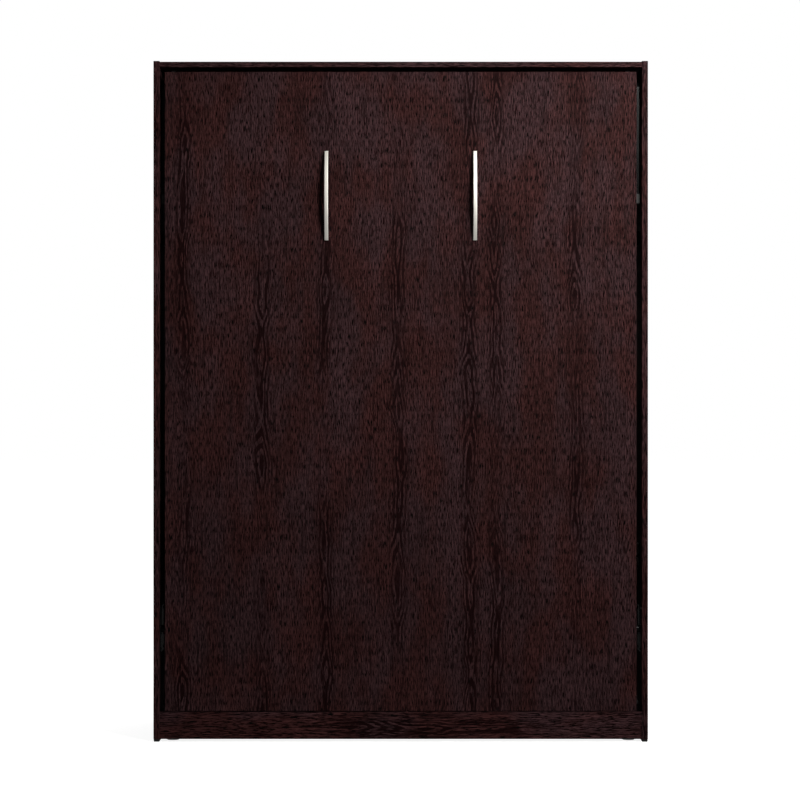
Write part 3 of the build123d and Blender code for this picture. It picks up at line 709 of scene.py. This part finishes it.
def resample(path: Array, spacing: float, closed: bool = False) -> Array:
    """Places points evenly along a polyline.

    Args:
        path: the polyline's points.
        spacing: the wanted distance between points.
        closed: whether the end joins the start.

    Returns:
        The new points. They are the polyline's own linear interpolation over its running length.
    """
    line = np.vstack([path, path[:1]]) if closed else path
    run = np.concatenate([[0], np.cumsum(np.linalg.norm(np.diff(line, axis=0), axis=1))])
    count = max(3, int(round(run[-1] / spacing)))
    at = np.linspace(0, run[-1], count, endpoint=not closed)
    return np.stack([np.interp(at, run, line[:, k]) for k in range(line.shape[1])], axis=1)


def sweep(path: Array, profile: Array, up: Array, closed: bool = False) -> tuple[Array, list[Array], Array]:
    """Carries a closed profile along a path.

    Args:
        path: the path's points.
        profile: the profile's points, or one profile a path point. First axis sideways, second along up.
        up: the profile's second axis, one vector or one a path point.
        closed: whether the path's end joins its start.

    Returns:
        The vertices, the faces, and (length along, length around) of each vertex. A vertex is the path's
        point plus the profile's two coordinates times the sideways and up vectors there, where sideways is
        the cross product of the path's direction and up.
    """
    ahead = np.roll(path, -1, axis=0) - np.roll(path, 1, axis=0)
    if not closed:
        ahead[0], ahead[-1] = path[1] - path[0], path[-1] - path[-2]
    ahead /= np.linalg.norm(ahead, axis=1, keepdims=True)
    raised = np.broadcast_to(up, path.shape)
    sideways = np.cross(ahead, raised)
    sideways /= np.linalg.norm(sideways, axis=1, keepdims=True)
    raised = np.cross(sideways, ahead)
    shape = profile if profile.ndim == 3 else np.broadcast_to(profile, (len(path), *profile.shape))
    points = path[:, None] + shape[..., :1] * sideways[:, None] + shape[..., 1:] * raised[:, None]
    rows, columns = points.shape[:2]
    faces = [grid_faces(rows, columns, closed, True)]
    if not closed:
        ends = np.arange(columns)
        faces += [ends[None, ::-1], (rows - 1) * columns + ends[None]]
    run = np.concatenate([[0], np.cumsum(np.linalg.norm(np.diff(path, axis=0), axis=1))])
    around = np.linalg.norm(np.diff(shape[0], axis=0), axis=1)
    around = np.concatenate([[0], np.cumsum(around)])
    lengths = np.stack(np.meshgrid(run, around, indexing="ij"), axis=-1)
    return points.reshape(-1, 3), faces, lengths.reshape(-1, 2)


def swept(
    name: str, path: Array, profile: Array, up: Sequence[float], closed: bool = False
) -> bpy.types.Object:
    """Makes a swept object with its running lengths as the UV map "weave".

    Args:
        name: the piece's name.
        path: the path's points.
        profile: the profile's points.
        up: the profile's second axis.
        closed: whether the path's end joins its start.

    Returns:
        The object. Its shape is as sweep() says.
    """
    points, faces, lengths = sweep(path, profile, np.asarray(up, float), closed)
    piece = mesh_object(name, points, faces)
    layer = piece.data.uv_layers.new(name="weave")
    corners = np.empty(len(piece.data.loops), dtype=np.int32)
    piece.data.loops.foreach_get("vertex_index", corners)
    layer.data.foreach_set("uv", lengths[corners].ravel())
    return piece


def join(name: str, pieces: Sequence[bpy.types.Object]) -> bpy.types.Object:
    """Joins several new pieces into one with that name.

    Args:
        name: the joined piece's name.
        pieces: the pieces, which are used up.

    Returns:
        The joined piece.
    """
    bpy.ops.object.select_all(action="DESELECT")
    for piece in pieces:
        piece.select_set(True)
    bpy.context.view_layer.objects.active = pieces[0]
    bpy.ops.object.join()
    pieces[0].name = name
    pieces[0].data.name = name
    return pieces[0]


def dress(piece: bpy.types.Object, finish: bpy.types.Material) -> None:
    """Gives a piece one material in place of those it has.

    Args:
        piece: a new piece or a CAD node.
        finish: the material.
    """
    for slot in piece.material_slots:
        slot.material = finish
    if not piece.material_slots:
        piece.data.materials.append(finish)


@dataclass
class Workshop:
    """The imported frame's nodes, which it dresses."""

    nodes: dict[str, bpy.types.Object]

    def paint(self, finish: Finish, name: str, *nodes: str) -> None:
        """Gives the named CAD nodes one finish.

        Args:
            finish: the finish.
            name: the material's name.
            nodes: the CAD nodes' names.
        """
        made = finish.make(name)
        for node in nodes:
            dress(self.nodes[node], made)
            log.info("dressed %s in %s", node, name)

    @staticmethod
    def add(piece: bpy.types.Object, body: str, slot: str, finish: bpy.types.Material, *stands_for: str) -> None:
        """Finishes a new piece and makes it ride.

        Args:
            piece: the new piece.
            body: the CAD body that it rides on.
            slot: the record's material slot named for it. It is not used.
            finish: its material.
            stands_for: the CAD nodes that it replaces.
        """
        dress(piece, finish)
        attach(piece, body)
        if stands_for:
            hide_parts(*stands_for)
        log.info("added %s on %s", piece.name, body)


# ---- sub-assemblies ----


ZINC = PlatedSteel((0.58, 0.59, 0.60), 0.34)
# Near-black coat: partly the black finish of the fittings and legs, partly painted shade, dark enough that what
# sits in the side reveals reads as their shade.
BLACK_COAT_AND_REVEAL_SHADE = PowderCoat((0.0030, 0.0030, 0.0033), 0.26, shine=0.06)


@dataclass
class Cabinet:
    """The fixed cabinet: laminated boards, its feet and its fittings.

    A side panel's hearts are counted from its middle, and come with the seed of its grain.
    """

    shop: Workshop
    side_x: float = 740.5 * MM
    side_hearts: dict[str, tuple[tuple[float, ...], float]] = field(
        default_factory=lambda: {"left": ((-0.13, 0.06, 0.21), 3.1), "right": ((-0.19, -0.02, 0.15), 7.3)}
    )
    across_hearts: tuple[float, ...] = (2.04, 2.19, 0.52, 0.71, 0.88, 1.97, 0.03, 0.09)
    kick_hearts: tuple[float, ...] = (-0.17,)

    def build(self) -> None:
        """Dresses the boards with the grain along each, and the fittings in steel, nylon and rubber."""
        paint = self.shop.paint
        for side, (hearts, seed) in self.side_hearts.items():
            middle = SIDES[side] * self.side_x
            board = WengeLaminate(Grain.UP, tuple(middle + heart for heart in hearts), seed=seed)
            paint(board, f"laminate_{side}", f"side_panel_{side}")
        paint(WengeLaminate(Grain.ACROSS, self.across_hearts, seed=1.7), "laminate_across", "top_panel",
              "base_board", "upper_wall_rail", "headboard_panel", "lower_rear_rail")
        paint(WengeLaminate(Grain.ACROSS, self.kick_hearts, seed=5.2, gain=1.20), "laminate_kick", "kick_board")
        paint(ZINC, "zinc_plate", "cam_locks", "foot_inserts", "levelling_foot_left", "levelling_foot_right")
        # Painted shade: the pivot plates, strut brackets, stop brackets and plate screws in the side reveals are
        # coated near-black so they read as the reveals' shade.
        paint(BLACK_COAT_AND_REVEAL_SHADE, "black_plate_and_reveal_shade", "pivot_plate_left", "pivot_plate_right", "strut_bracket_left",
              "strut_bracket_right", "stop_brackets", "plate_screws")
        paint(Moulded((0.018, 0.018, 0.018), 0.62, 900), "nylon_black", "panel_glides")
        paint(Moulded((0.014, 0.014, 0.014), 0.78, 700), "rubber_buffer", "stop_bumpers")


@dataclass
class Door:
    """The front panel with its two bow pulls."""

    shop: Workshop
    hearts: tuple[float, ...] = (-0.661, -0.421, -0.230, -0.008, 0.210, 0.290, 0.529)
    nickel: BrushedMetal = BrushedMetal((0.83, 0.80, 0.745), 0.56)

    def build(self) -> None:
        """Dresses the panel with upright grain and the pulls in satin nickel."""
        low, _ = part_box("door_panel")
        door = WengeLaminate(Grain.UP, self.hearts, face=low[1])
        self.shop.paint(door, "laminate_door", "door_panel")
        self.shop.paint(self.nickel, "satin_nickel", "pull_left", "pull_right")
        self.shop.paint(ZINC, "zinc_screws", "pull_screws", "frame_bolts")


@dataclass
class BedFrame:
    """The steel frame, its slats and what is fixed to it."""

    shop: Workshop
    slat_rise: float = 8 * MM

    def build(self) -> None:
        """Dresses the tubes in black powder coat and the slats in beech ply."""
        paint = self.shop.paint
        coat = PowderCoat((0.010, 0.010, 0.011))
        paint(coat, "black_coat", "side_rail_left", "side_rail_right", "head_rail", "foot_rail", "centre_beam",
              "cross_bars", "head_hoop", "foot_hoop")
        paint(Moulded((0.020, 0.020, 0.021), 0.5), "nylon_holder", "slat_holders", "rail_caps")
        paint(Moulded((0.012, 0.012, 0.012), 0.5), "nylon_bush", "pivot_bushes")
        # Painted shade: the ball studs and leg bolts, zinc-plated steel on the real bed, are coated near-black so
        # they read as the shade in the side reveals.
        paint(BLACK_COAT_AND_REVEAL_SHADE, "studs_black_as_reveal_shade", "ball_studs")
        paint(BLACK_COAT_AND_REVEAL_SHADE, "bolts_black_as_reveal_shade", "leg_bolts")
        low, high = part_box("slat_01")
        beech = BeechPly(low[1], self.slat_rise, high[0])
        slats = sorted(name for name in self.shop.nodes if name.startswith("slat_") and name[-2:].isdigit())
        paint(beech, "beech_ply", *slats)


@dataclass
class GasStruts:
    """The two gas struts."""

    shop: Workshop
    socket_length: float = 22 * MM

    def build(self) -> None:
        """Dresses the pressure tubes in black enamel and the rods in chrome with black sockets."""
        enamel = PowderCoat((0.012, 0.012, 0.013), 0.24, 420)
        self.shop.paint(enamel, "black_enamel", "strut_cylinder_left", "strut_cylinder_right")
        low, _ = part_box("strut_rod_left")
        ball_radius = 9 * MM
        rod = StrutRodSteel(low[2] + ball_radius + self.socket_length)
        self.shop.paint(rod, "chromed_rod", "strut_rod_left", "strut_rod_right")


@dataclass
class Legs:
    """The two swinging legs."""

    shop: Workshop

    def build(self) -> None:
        """Dresses the bars in powder coat and their boots in rubber."""
        # The legs' near-black coat is their black finish and also painted shade: it is dark enough that they vanish
        # into the shade of the side reveals.
        self.shop.paint(BLACK_COAT_AND_REVEAL_SHADE, "leg_coat", "leg_left", "leg_right")
        boot = Moulded((0.014, 0.014, 0.014), 0.75, 800)
        self.shop.paint(boot, "boot_rubber", "leg_boot_left", "leg_boot_right")


@dataclass
class Mattress:
    """A quilted mattress with taped edges, side handles and vents."""

    body: str = "bed"
    corner: float = 60 * MM
    seam_drop: float = 15 * MM
    seam_inset: float = 7 * MM
    crown: float = 9 * MM
    pillow: float = 7 * MM
    diamond: float = 118 * MM
    border_pitch: float = 62 * MM
    border_bulge: float = 5 * MM
    tape_radius: float = 5 * MM
    strap_lows: tuple[float, float] = (737 * MM, 1385 * MM)
    strap_width: float = 50 * MM
    columns: int = 160
    rows: int = 224
    side_rows: int = 25

    def __post_init__(self) -> None:
        """Takes the mattress's centre and half size from its CAD solid."""
        low, high = (np.array(corner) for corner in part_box("mattress"))
        self.centre = (low + high) / 2
        self.half = (high - low) / 2

    def edge_distance(self, x: Array, z: Array, inset: float = 0.0) -> Array:
        """How far inside the rounded outline each point lies.

        Args:
            x: distance across from the middle.
            z: distance along from the middle.
            inset: how far the outline is drawn in.

        Returns:
            The distance: the radius less the length of what is left of the point beyond the corner centres.
        """
        radius = self.corner - inset
        qx = np.abs(x) - (self.half[0] - self.corner)
        qz = np.abs(z) - (self.half[2] - self.corner)
        outside = np.hypot(np.maximum(qx, 0), np.maximum(qz, 0))
        return radius - outside - np.minimum(np.maximum(qx, qz), 0)

    def strap_press(self, z: Array) -> Array:
        """How strongly the straps press.

        Args:
            z: heights from the middle.

        Returns:
            0 to 1 at each height: a smooth step of the distance from the nearest strap's edge.
        """
        press = np.zeros_like(z)
        for low in self.strap_lows:
            away = np.abs(z + self.centre[2] - low - self.strap_width / 2) - self.strap_width / 2
            press = np.maximum(press, np.clip(1 - away / (18 * MM), 0, 1))
        return press * press * (3 - 2 * press)

    def panel(self, face: int) -> tuple[Array, Array]:
        """A quilted face.

        The grid's corners are drawn in to quarter circles. The face rises from its seam by a crown of
        one minus the exponential of the edge distance, plus a pillow on each diamond: the fourth root of
        the product of two squared sines along the diagonals.

        Args:
            face: 1 for the sleeping side, -1 for the side on the slats.

        Returns:
            The points as a grid, and how near each is to a sewn line.
        """
        a, b = np.meshgrid(np.linspace(-1, 1, self.columns), np.linspace(-1, 1, self.rows), indexing="ij")
        half_x, half_z = self.half[0] - self.seam_inset, self.half[2] - self.seam_inset
        radius = self.corner - self.seam_inset
        x, z = a * half_x, b * half_z
        p = np.clip((np.abs(x) - half_x + radius) / radius, 0, 1)
        q = np.clip((np.abs(z) - half_z + radius) / radius, 0, 1)
        x = np.sign(x) * (np.minimum(np.abs(x), half_x - radius) + radius * p * np.sqrt(1 - q * q / 2))
        z = np.sign(z) * (np.minimum(np.abs(z), half_z - radius) + radius * q * np.sqrt(1 - p * p / 2))
        inside = np.maximum(self.edge_distance(x, z) - self.seam_inset, 0)
        first = np.sin(math.pi * (x + z * 0.72) / self.diamond) ** 2
        second = np.sin(math.pi * (x - z * 0.72) / self.diamond) ** 2
        puff = (first * second) ** 0.25
        fade = 1 - np.exp(-inside / (26 * MM))
        press = self.strap_press(z) if face > 0 else np.zeros_like(z)
        rise = self.crown * (1 - np.exp(-inside / (20 * MM)))
        rise = rise + self.pillow * fade * (puff * (1 - press) + 0.45 * press) - 1.6 * MM * press * fade
        y = face * (self.half[1] - self.seam_drop + rise)
        stitch = np.clip(1 - np.minimum(first, second) / 0.012, 0, 1) * fade * (1 - press)
        return np.stack([x, y, z], axis=-1), stitch

    def border(self, rim: Array) -> tuple[Array, Array]:
        """The side wall between the two faces.

        Args:
            rim: the faces' outline, as (x, z) in order.

        Returns:
            The points as a grid, and how near each is to a sewn line. Each point is the outline pushed out
            along its normal by the seam's inset, which falls away at the seams as a fourth power, and by
            channels whose swell is the root of a sine along the outline.
        """
        nearest = np.sign(rim) * np.maximum(np.abs(rim) - (self.half[[0, 2]] - self.corner), 0)
        flat = np.abs(rim) >= (self.half[[0, 2]] - self.seam_inset - 1e-6)
        nearest = np.where(np.linalg.norm(nearest, axis=1, keepdims=True) < 1e-9, np.sign(rim) * flat, nearest)
        out = nearest / np.linalg.norm(nearest, axis=1, keepdims=True)
        run = np.concatenate([[0], np.cumsum(np.linalg.norm(np.diff(rim, axis=0), axis=1))])
        total = run[-1] + np.linalg.norm(rim[0] - rim[-1])
        channels = round(total / self.border_pitch)
        wave = np.abs(np.sin(math.pi * channels * run / total))
        t = np.linspace(-1, 1, self.side_rows)
        level = t * (self.half[1] - self.seam_drop)
        swell = 1 - np.abs(t) ** 4
        press = self.strap_press(rim[:, 1]) * (np.abs(out[:, 0]) > 0.9)
        bulge = self.border_bulge * np.sqrt(wave) * (1 - press) + 0.3 * self.border_bulge * press
        push = swell[None] * (self.seam_inset - self.border_bulge + bulge[:, None])
        x = rim[:, :1] + out[:, :1] * push
        z = rim[:, 1:] + out[:, 1:] * push
        y = np.broadcast_to(level, x.shape)
        stitch = np.clip(1 - wave / 0.10, 0, 1)[:, None] * np.clip((1 - np.abs(t)) / 0.1, 0, 1)[None]
        return np.stack([x, y, z], axis=-1), stitch

    def cover(self) -> bpy.types.Object:
        """The quilted cover.

        Returns:
            One closed piece: the two faces and the border between them, merged along their seams.
        """
        top, top_stitch = self.panel(1)
        under, under_stitch = self.panel(-1)
        edge = np.concatenate([top[:, 0], top[-1, 1:], top[-2::-1, -1], top[0, -2:0:-1]])
        side, side_stitch = self.border(edge[:, [0, 2]])
        blocks = [top.reshape(-1, 3), under.reshape(-1, 3), side.reshape(-1, 3)]
        starts = np.cumsum([0] + [len(block) for block in blocks])
        flat = grid_faces(self.columns, self.rows)
        ring = grid_faces(len(edge), self.side_rows, close_rows=True)
        faces = [flat[:, ::-1] + starts[0], flat + starts[1], ring + starts[2]]
        piece = mesh_object("mattress_cover", np.concatenate(blocks) + self.centre, faces)
        sewn = np.concatenate([s.ravel() for s in (top_stitch, under_stitch, side_stitch)])
        mark = piece.data.attributes.new("stitch", "FLOAT", "POINT")
        mark.data.foreach_set("value", sewn.astype(np.float32))
        weld(piece)
        return piece

    def tapes(self) -> bpy.types.Object:
        """The bound edges.

        Returns:
            One piece: a circle carried along each seam's rounded outline.
        """
        inset = self.tape_radius
        outline = rounded_rectangle(self.half[0] - inset, self.half[2] - inset, self.corner - inset, 16)
        profile = circle(self.tape_radius, 12)
        made = []
        for face in (1, -1):
            level = face * (self.half[1] - self.seam_drop)
            path = np.stack([outline[:, 0], np.full(len(outline), level), outline[:, 1]], axis=1)
            path = resample(path, 12 * MM, closed=True) + self.centre
            made.append(swept(f"tape_{face}", path, profile, (0, 1, 0), closed=True))
        return join("mattress_tape", made)

    def handles(self) -> bpy.types.Object:
        """Four carrying handles on the long sides.

        Returns:
            One piece of flat straps, which stand off the side by a squared cosine along their length.
        """
        made = []
        profile = rounded_rectangle(1.1 * MM, 13 * MM, 1.0 * MM, 3)
        for side in SIDES.values():
            for height in (-560 * MM, 560 * MM):
                t = np.linspace(-1, 1, 41)
                stand_off = 1.4 * MM + 6.5 * MM * np.cos(t * math.pi / 2) ** 2
                path = np.stack([side * (self.half[0] + stand_off), np.zeros_like(t), height + t * 95 * MM], axis=1)
                made.append(swept("handle", path + self.centre, profile, (0, 1, 0)))
        return join("mattress_handles", made)

    def vents(self) -> bpy.types.Object:
        """Small ringed vents in the border.

        Returns:
            One piece: a small circle carried round a larger one for each vent.
        """
        made = []
        section = circle(1.4 * MM, 28)[::3]
        outline = circle(7 * MM, 28)
        for side in SIDES.values():
            for height in (-760 * MM, -735 * MM, 735 * MM, 760 * MM):
                depth = np.full(len(outline), side * (self.half[0] - 0.2 * MM))
                ring = np.stack([depth, outline[:, 0], height + outline[:, 1]], axis=1)
                made.append(swept("vent", ring + self.centre, section, (1, 0, 0), closed=True))
        return join("mattress_vents", made)

    def build(self) -> None:
        """Builds every piece of the mattress and makes it ride on the bed."""
        cover = self.cover()
        Workshop.add(cover, self.body, "ticking", Ticking().make("knitted_ticking"), "mattress")
        tape = Webbing((0.56, 0.54, 0.50), 0.0028, 0.0003).make("edge_tape")
        Workshop.add(self.tapes(), self.body, "ticking", tape)
        Workshop.add(self.handles(), self.body, "ticking", Webbing((0.42, 0.41, 0.38)).make("handle_tape"))
        Workshop.add(self.vents(), self.body, "zinc", PlatedSteel((0.60, 0.60, 0.61), 0.3).make("vent_metal"))


@dataclass
class Straps:
    """Two webbing straps with ladder buckles that hold the mattress to the frame."""

    mattress: Mattress
    half_thickness: float = 0.95 * MM
    edge_radius: float = 13 * MM
    clearance: float = 1.0 * MM
    foot_reach: float = 13 * MM
    buckle_x: float = 0.34

    def path(self, height: float) -> Array:
        """A strap's centreline at a height.

        It runs in along one rail, up the mattress's side, across and down, with a quarter circle at each turn.

        Args:
            height: the strap's middle height.

        Returns:
            The points.
        """
        low, high = (np.array(corner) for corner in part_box("mattress_straps"))
        side = high[0] - self.foot_reach - self.half_thickness
        base = low[1] + self.half_thickness + 0.1 * MM
        top = self.mattress.centre[1] + self.mattress.half[1] + self.clearance
        turn = np.linspace(0, math.pi / 2, 9)
        small = 3 * MM
        foot = np.array([[high[0], base], [side + small, base]])
        bend = np.stack([side + small - small * np.sin(turn), base + small - small * np.cos(turn)], axis=1)
        over = np.stack([
            side - self.edge_radius + self.edge_radius * np.cos(turn),
            top - self.edge_radius + self.edge_radius * np.sin(turn),
        ], axis=1)
        half = np.concatenate([foot, bend, over])
        whole = np.concatenate([half, half[::-1] * (-1, 1)])
        line = resample(whole, 6 * MM)
        return np.stack([line[:, 0], line[:, 1], np.full(len(line), height)], axis=1)

    def buckle(self, height: float) -> bpy.types.Object:
        """A ladder buckle: a rounded frame with two bars that the strap threads through.

        Args:
            height: the height of its middle.

        Returns:
            The buckle. Its frame and bars are circles carried along an outline and along straight lines.
        """
        top = self.mattress.centre[1] + self.mattress.half[1] + self.clearance
        section = circle(2.3 * MM, 10)
        outline = rounded_rectangle(22 * MM, 31 * MM, 5 * MM, 6)
        made = []
        level = np.full(len(outline), top + 2.5 * MM)
        ring = np.stack([outline[:, 0] + self.buckle_x, level, outline[:, 1] + height], axis=1)
        made.append(swept("buckle_frame", resample(ring, 3 * MM, True), section, (0, 1, 0), closed=True))
        for offset in (-7 * MM, 7 * MM):
            t = np.linspace(-1, 1, 15)
            bar = np.stack([
                np.full_like(t, self.buckle_x + offset), np.full_like(t, top + 3.4 * MM), height + t * 30 * MM,
            ], axis=1)
            made.append(swept("buckle_bar", bar, section * 0.85, (0, 1, 0)))
        return join(f"strap_buckle_{round(height * 1000)}", made)

    def build(self) -> None:
        """Builds the straps and their buckles."""
        profile = rounded_rectangle(self.half_thickness, self.mattress.strap_width / 2, 0.9 * MM, 4)
        straps, buckles = [], []
        for low in self.mattress.strap_lows:
            middle = low + self.mattress.strap_width / 2
            straps.append(swept("strap", self.path(middle), profile, (0, 0, 1)))
            buckles.append(self.buckle(middle))
        weave = Webbing((0.022, 0.022, 0.024)).make("black_webbing")
        Workshop.add(join("mattress_strap_webbing", straps), "bed", "webbing", weave, "mattress_straps")
        plastic = Moulded((0.020, 0.020, 0.021), 0.42).make("buckle_plastic")
        Workshop.add(join("strap_buckles", buckles), "bed", "black_plastic", plastic)


@dataclass
class Studio:
    """Camera, lights, floor and backdrop."""

    eye: tuple[float, float, float] = (-0.0021, -6.717, 1.0363)
    lens: float = 96.5
    backdrop: float = 1.0
    ceiling: float = 0.04
    floor_bounce: float = 0.33
    behind: float = 0.25
    floor_reach: float = 30.0

    def camera(self) -> None:
        """Sets a level camera, straight in front."""
        data = bpy.data.cameras.new("camera")
        data.lens = self.lens
        data.sensor_width = 36.0
        data.clip_end = 100.0
        camera = bpy.data.objects.new("camera", data)
        camera.location = self.eye
        camera.rotation_euler = (math.pi / 2, 0, 0)
        bpy.context.scene.collection.objects.link(camera)
        bpy.context.scene.camera = camera

    @staticmethod
    def lamp(
        name: str, place: Sequence[float], target: Sequence[float], size: float, watts: float,
        colour: Colour = (1.0, 1.0, 1.0),
    ) -> None:
        """Adds a square softbox.

        Args:
            name: its name.
            place: where it stands.
            target: what it points at.
            size: its side.
            watts: its power.
            colour: its colour.
        """
        data = bpy.data.lights.new(name, "AREA")
        data.shape = "SQUARE"
        data.size = size
        data.energy = watts
        data.color = colour
        light = bpy.data.objects.new(name, data)
        light.location = place
        light.rotation_euler = (Vector(target) - Vector(place)).to_track_quat("-Z", "Y").to_euler()
        bpy.context.scene.collection.objects.link(light)

    def lights(self) -> None:
        """A key high on the right, a weak fill on the left, and two lights for the back and sides."""
        self.lamp("key", (1.30, -2.25, 2.62), (0.25, -0.2, 1.30), 0.7, 84, (1.0, 0.985, 0.96))
        self.lamp("left", (-4.2, 1.6, 2.4), (-0.75, 0, 1.0), 1.6, 70)
        self.lamp("right", (4.2, 1.2, 2.4), (0.75, 0, 1.0), 1.6, 60)
        self.lamp("back", (0.5, 3.0, 4.8), (0, 0.2, 1.2), 3.2, 60)

    def world(self) -> None:
        """A white backdrop for the eye, and for the object a dim room that is lighter towards the floor."""
        world = bpy.data.worlds.new("room")
        g = Graph(world)
        _, ahead, height = g.split(g.node("ShaderNodeTexCoord", output="Generated"))
        levels = {0: height, 1: -0.35, 2: 0.25, 3: self.floor_bounce, 4: self.ceiling}
        glow = g.node("ShaderNodeMapRange", None, levels)
        wall = g.node("ShaderNodeMapRange", None, {0: ahead, 1: 0.0, 2: 0.5, 3: 1.0, 4: self.behind})
        room = g.node("ShaderNodeBackground", inputs={"Strength": glow * wall})
        seen = g.node("ShaderNodeBackground", inputs={"Color": (self.backdrop,) * 3})
        camera_ray = g.node("ShaderNodeLightPath", output="Is Camera Ray")
        g.end("ShaderNodeOutputWorld", g.node("ShaderNodeMixShader", inputs={0: camera_ray, 1: room, 2: seen}))
        bpy.context.scene.world = world

    @staticmethod
    def floor_inputs(g: Graph) -> Inputs:
        """Works out the floor's shader: it glows white, and a little less near the object.

        Args:
            g: the material's graph.

        Returns:
            The shader's inputs. The glow is a smooth step of the distance from the object's footprint.
        """
        _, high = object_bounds()
        x, y, _ = g.place()
        gap_x = g.math("MAXIMUM", abs(x) - high[0], 0.0)
        gap_y = g.math("MAXIMUM", abs(y) - high[1], 0.0)
        glow = (gap_x * gap_x + gap_y * gap_y).root().step(0.05, 1.3, 0.87, 1.0)
        return {
            "Base Color": (0.4, 0.4, 0.4), "Roughness": 1.0, "Specular IOR Level": 0.0,
            "Emission Color": g.point(glow, glow, glow), "Emission Strength": 1.0,
        }

    def floor(self) -> None:
        """A white floor, a little greyer close to the object, where its shadow shows faintly."""
        surface = material("pale_floor", self.floor_inputs)
        x, y, z = self.floor_reach, self.floor_reach, -0.5 * MM
        points = np.array([[-x, -y, z], [x, -y, z], [x, y, z], [-x, y, z]])
        plane = mesh_object("floor", points, [np.array([[0, 1, 2, 3]])], smooth=False)
        dress(plane, surface)
        plane.visible_diffuse = False
        plane.visible_glossy = False
        plane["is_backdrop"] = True

    def build(self) -> None:
        """Sets up the studio."""
        bpy.context.scene.view_settings.view_transform = "Standard"
        bpy.context.scene.view_settings.look = "None"
        self.camera()
        self.world()
        self.lights()
        self.floor()


def main() -> None:
    """Builds the studio and every sub-assembly."""
    logging.basicConfig(level=logging.INFO, format="%(name)s: %(message)s")
    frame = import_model()
    shop = Workshop(frame["nodes"])
    Studio().build()
    for assembly in (Cabinet(shop), Door(shop), BedFrame(shop), GasStruts(shop), Legs(shop)):
        assembly.build()
    mattress = Mattress()
    mattress.build()
    Straps(mattress).build()


if __name__ == "__main__":
    main()
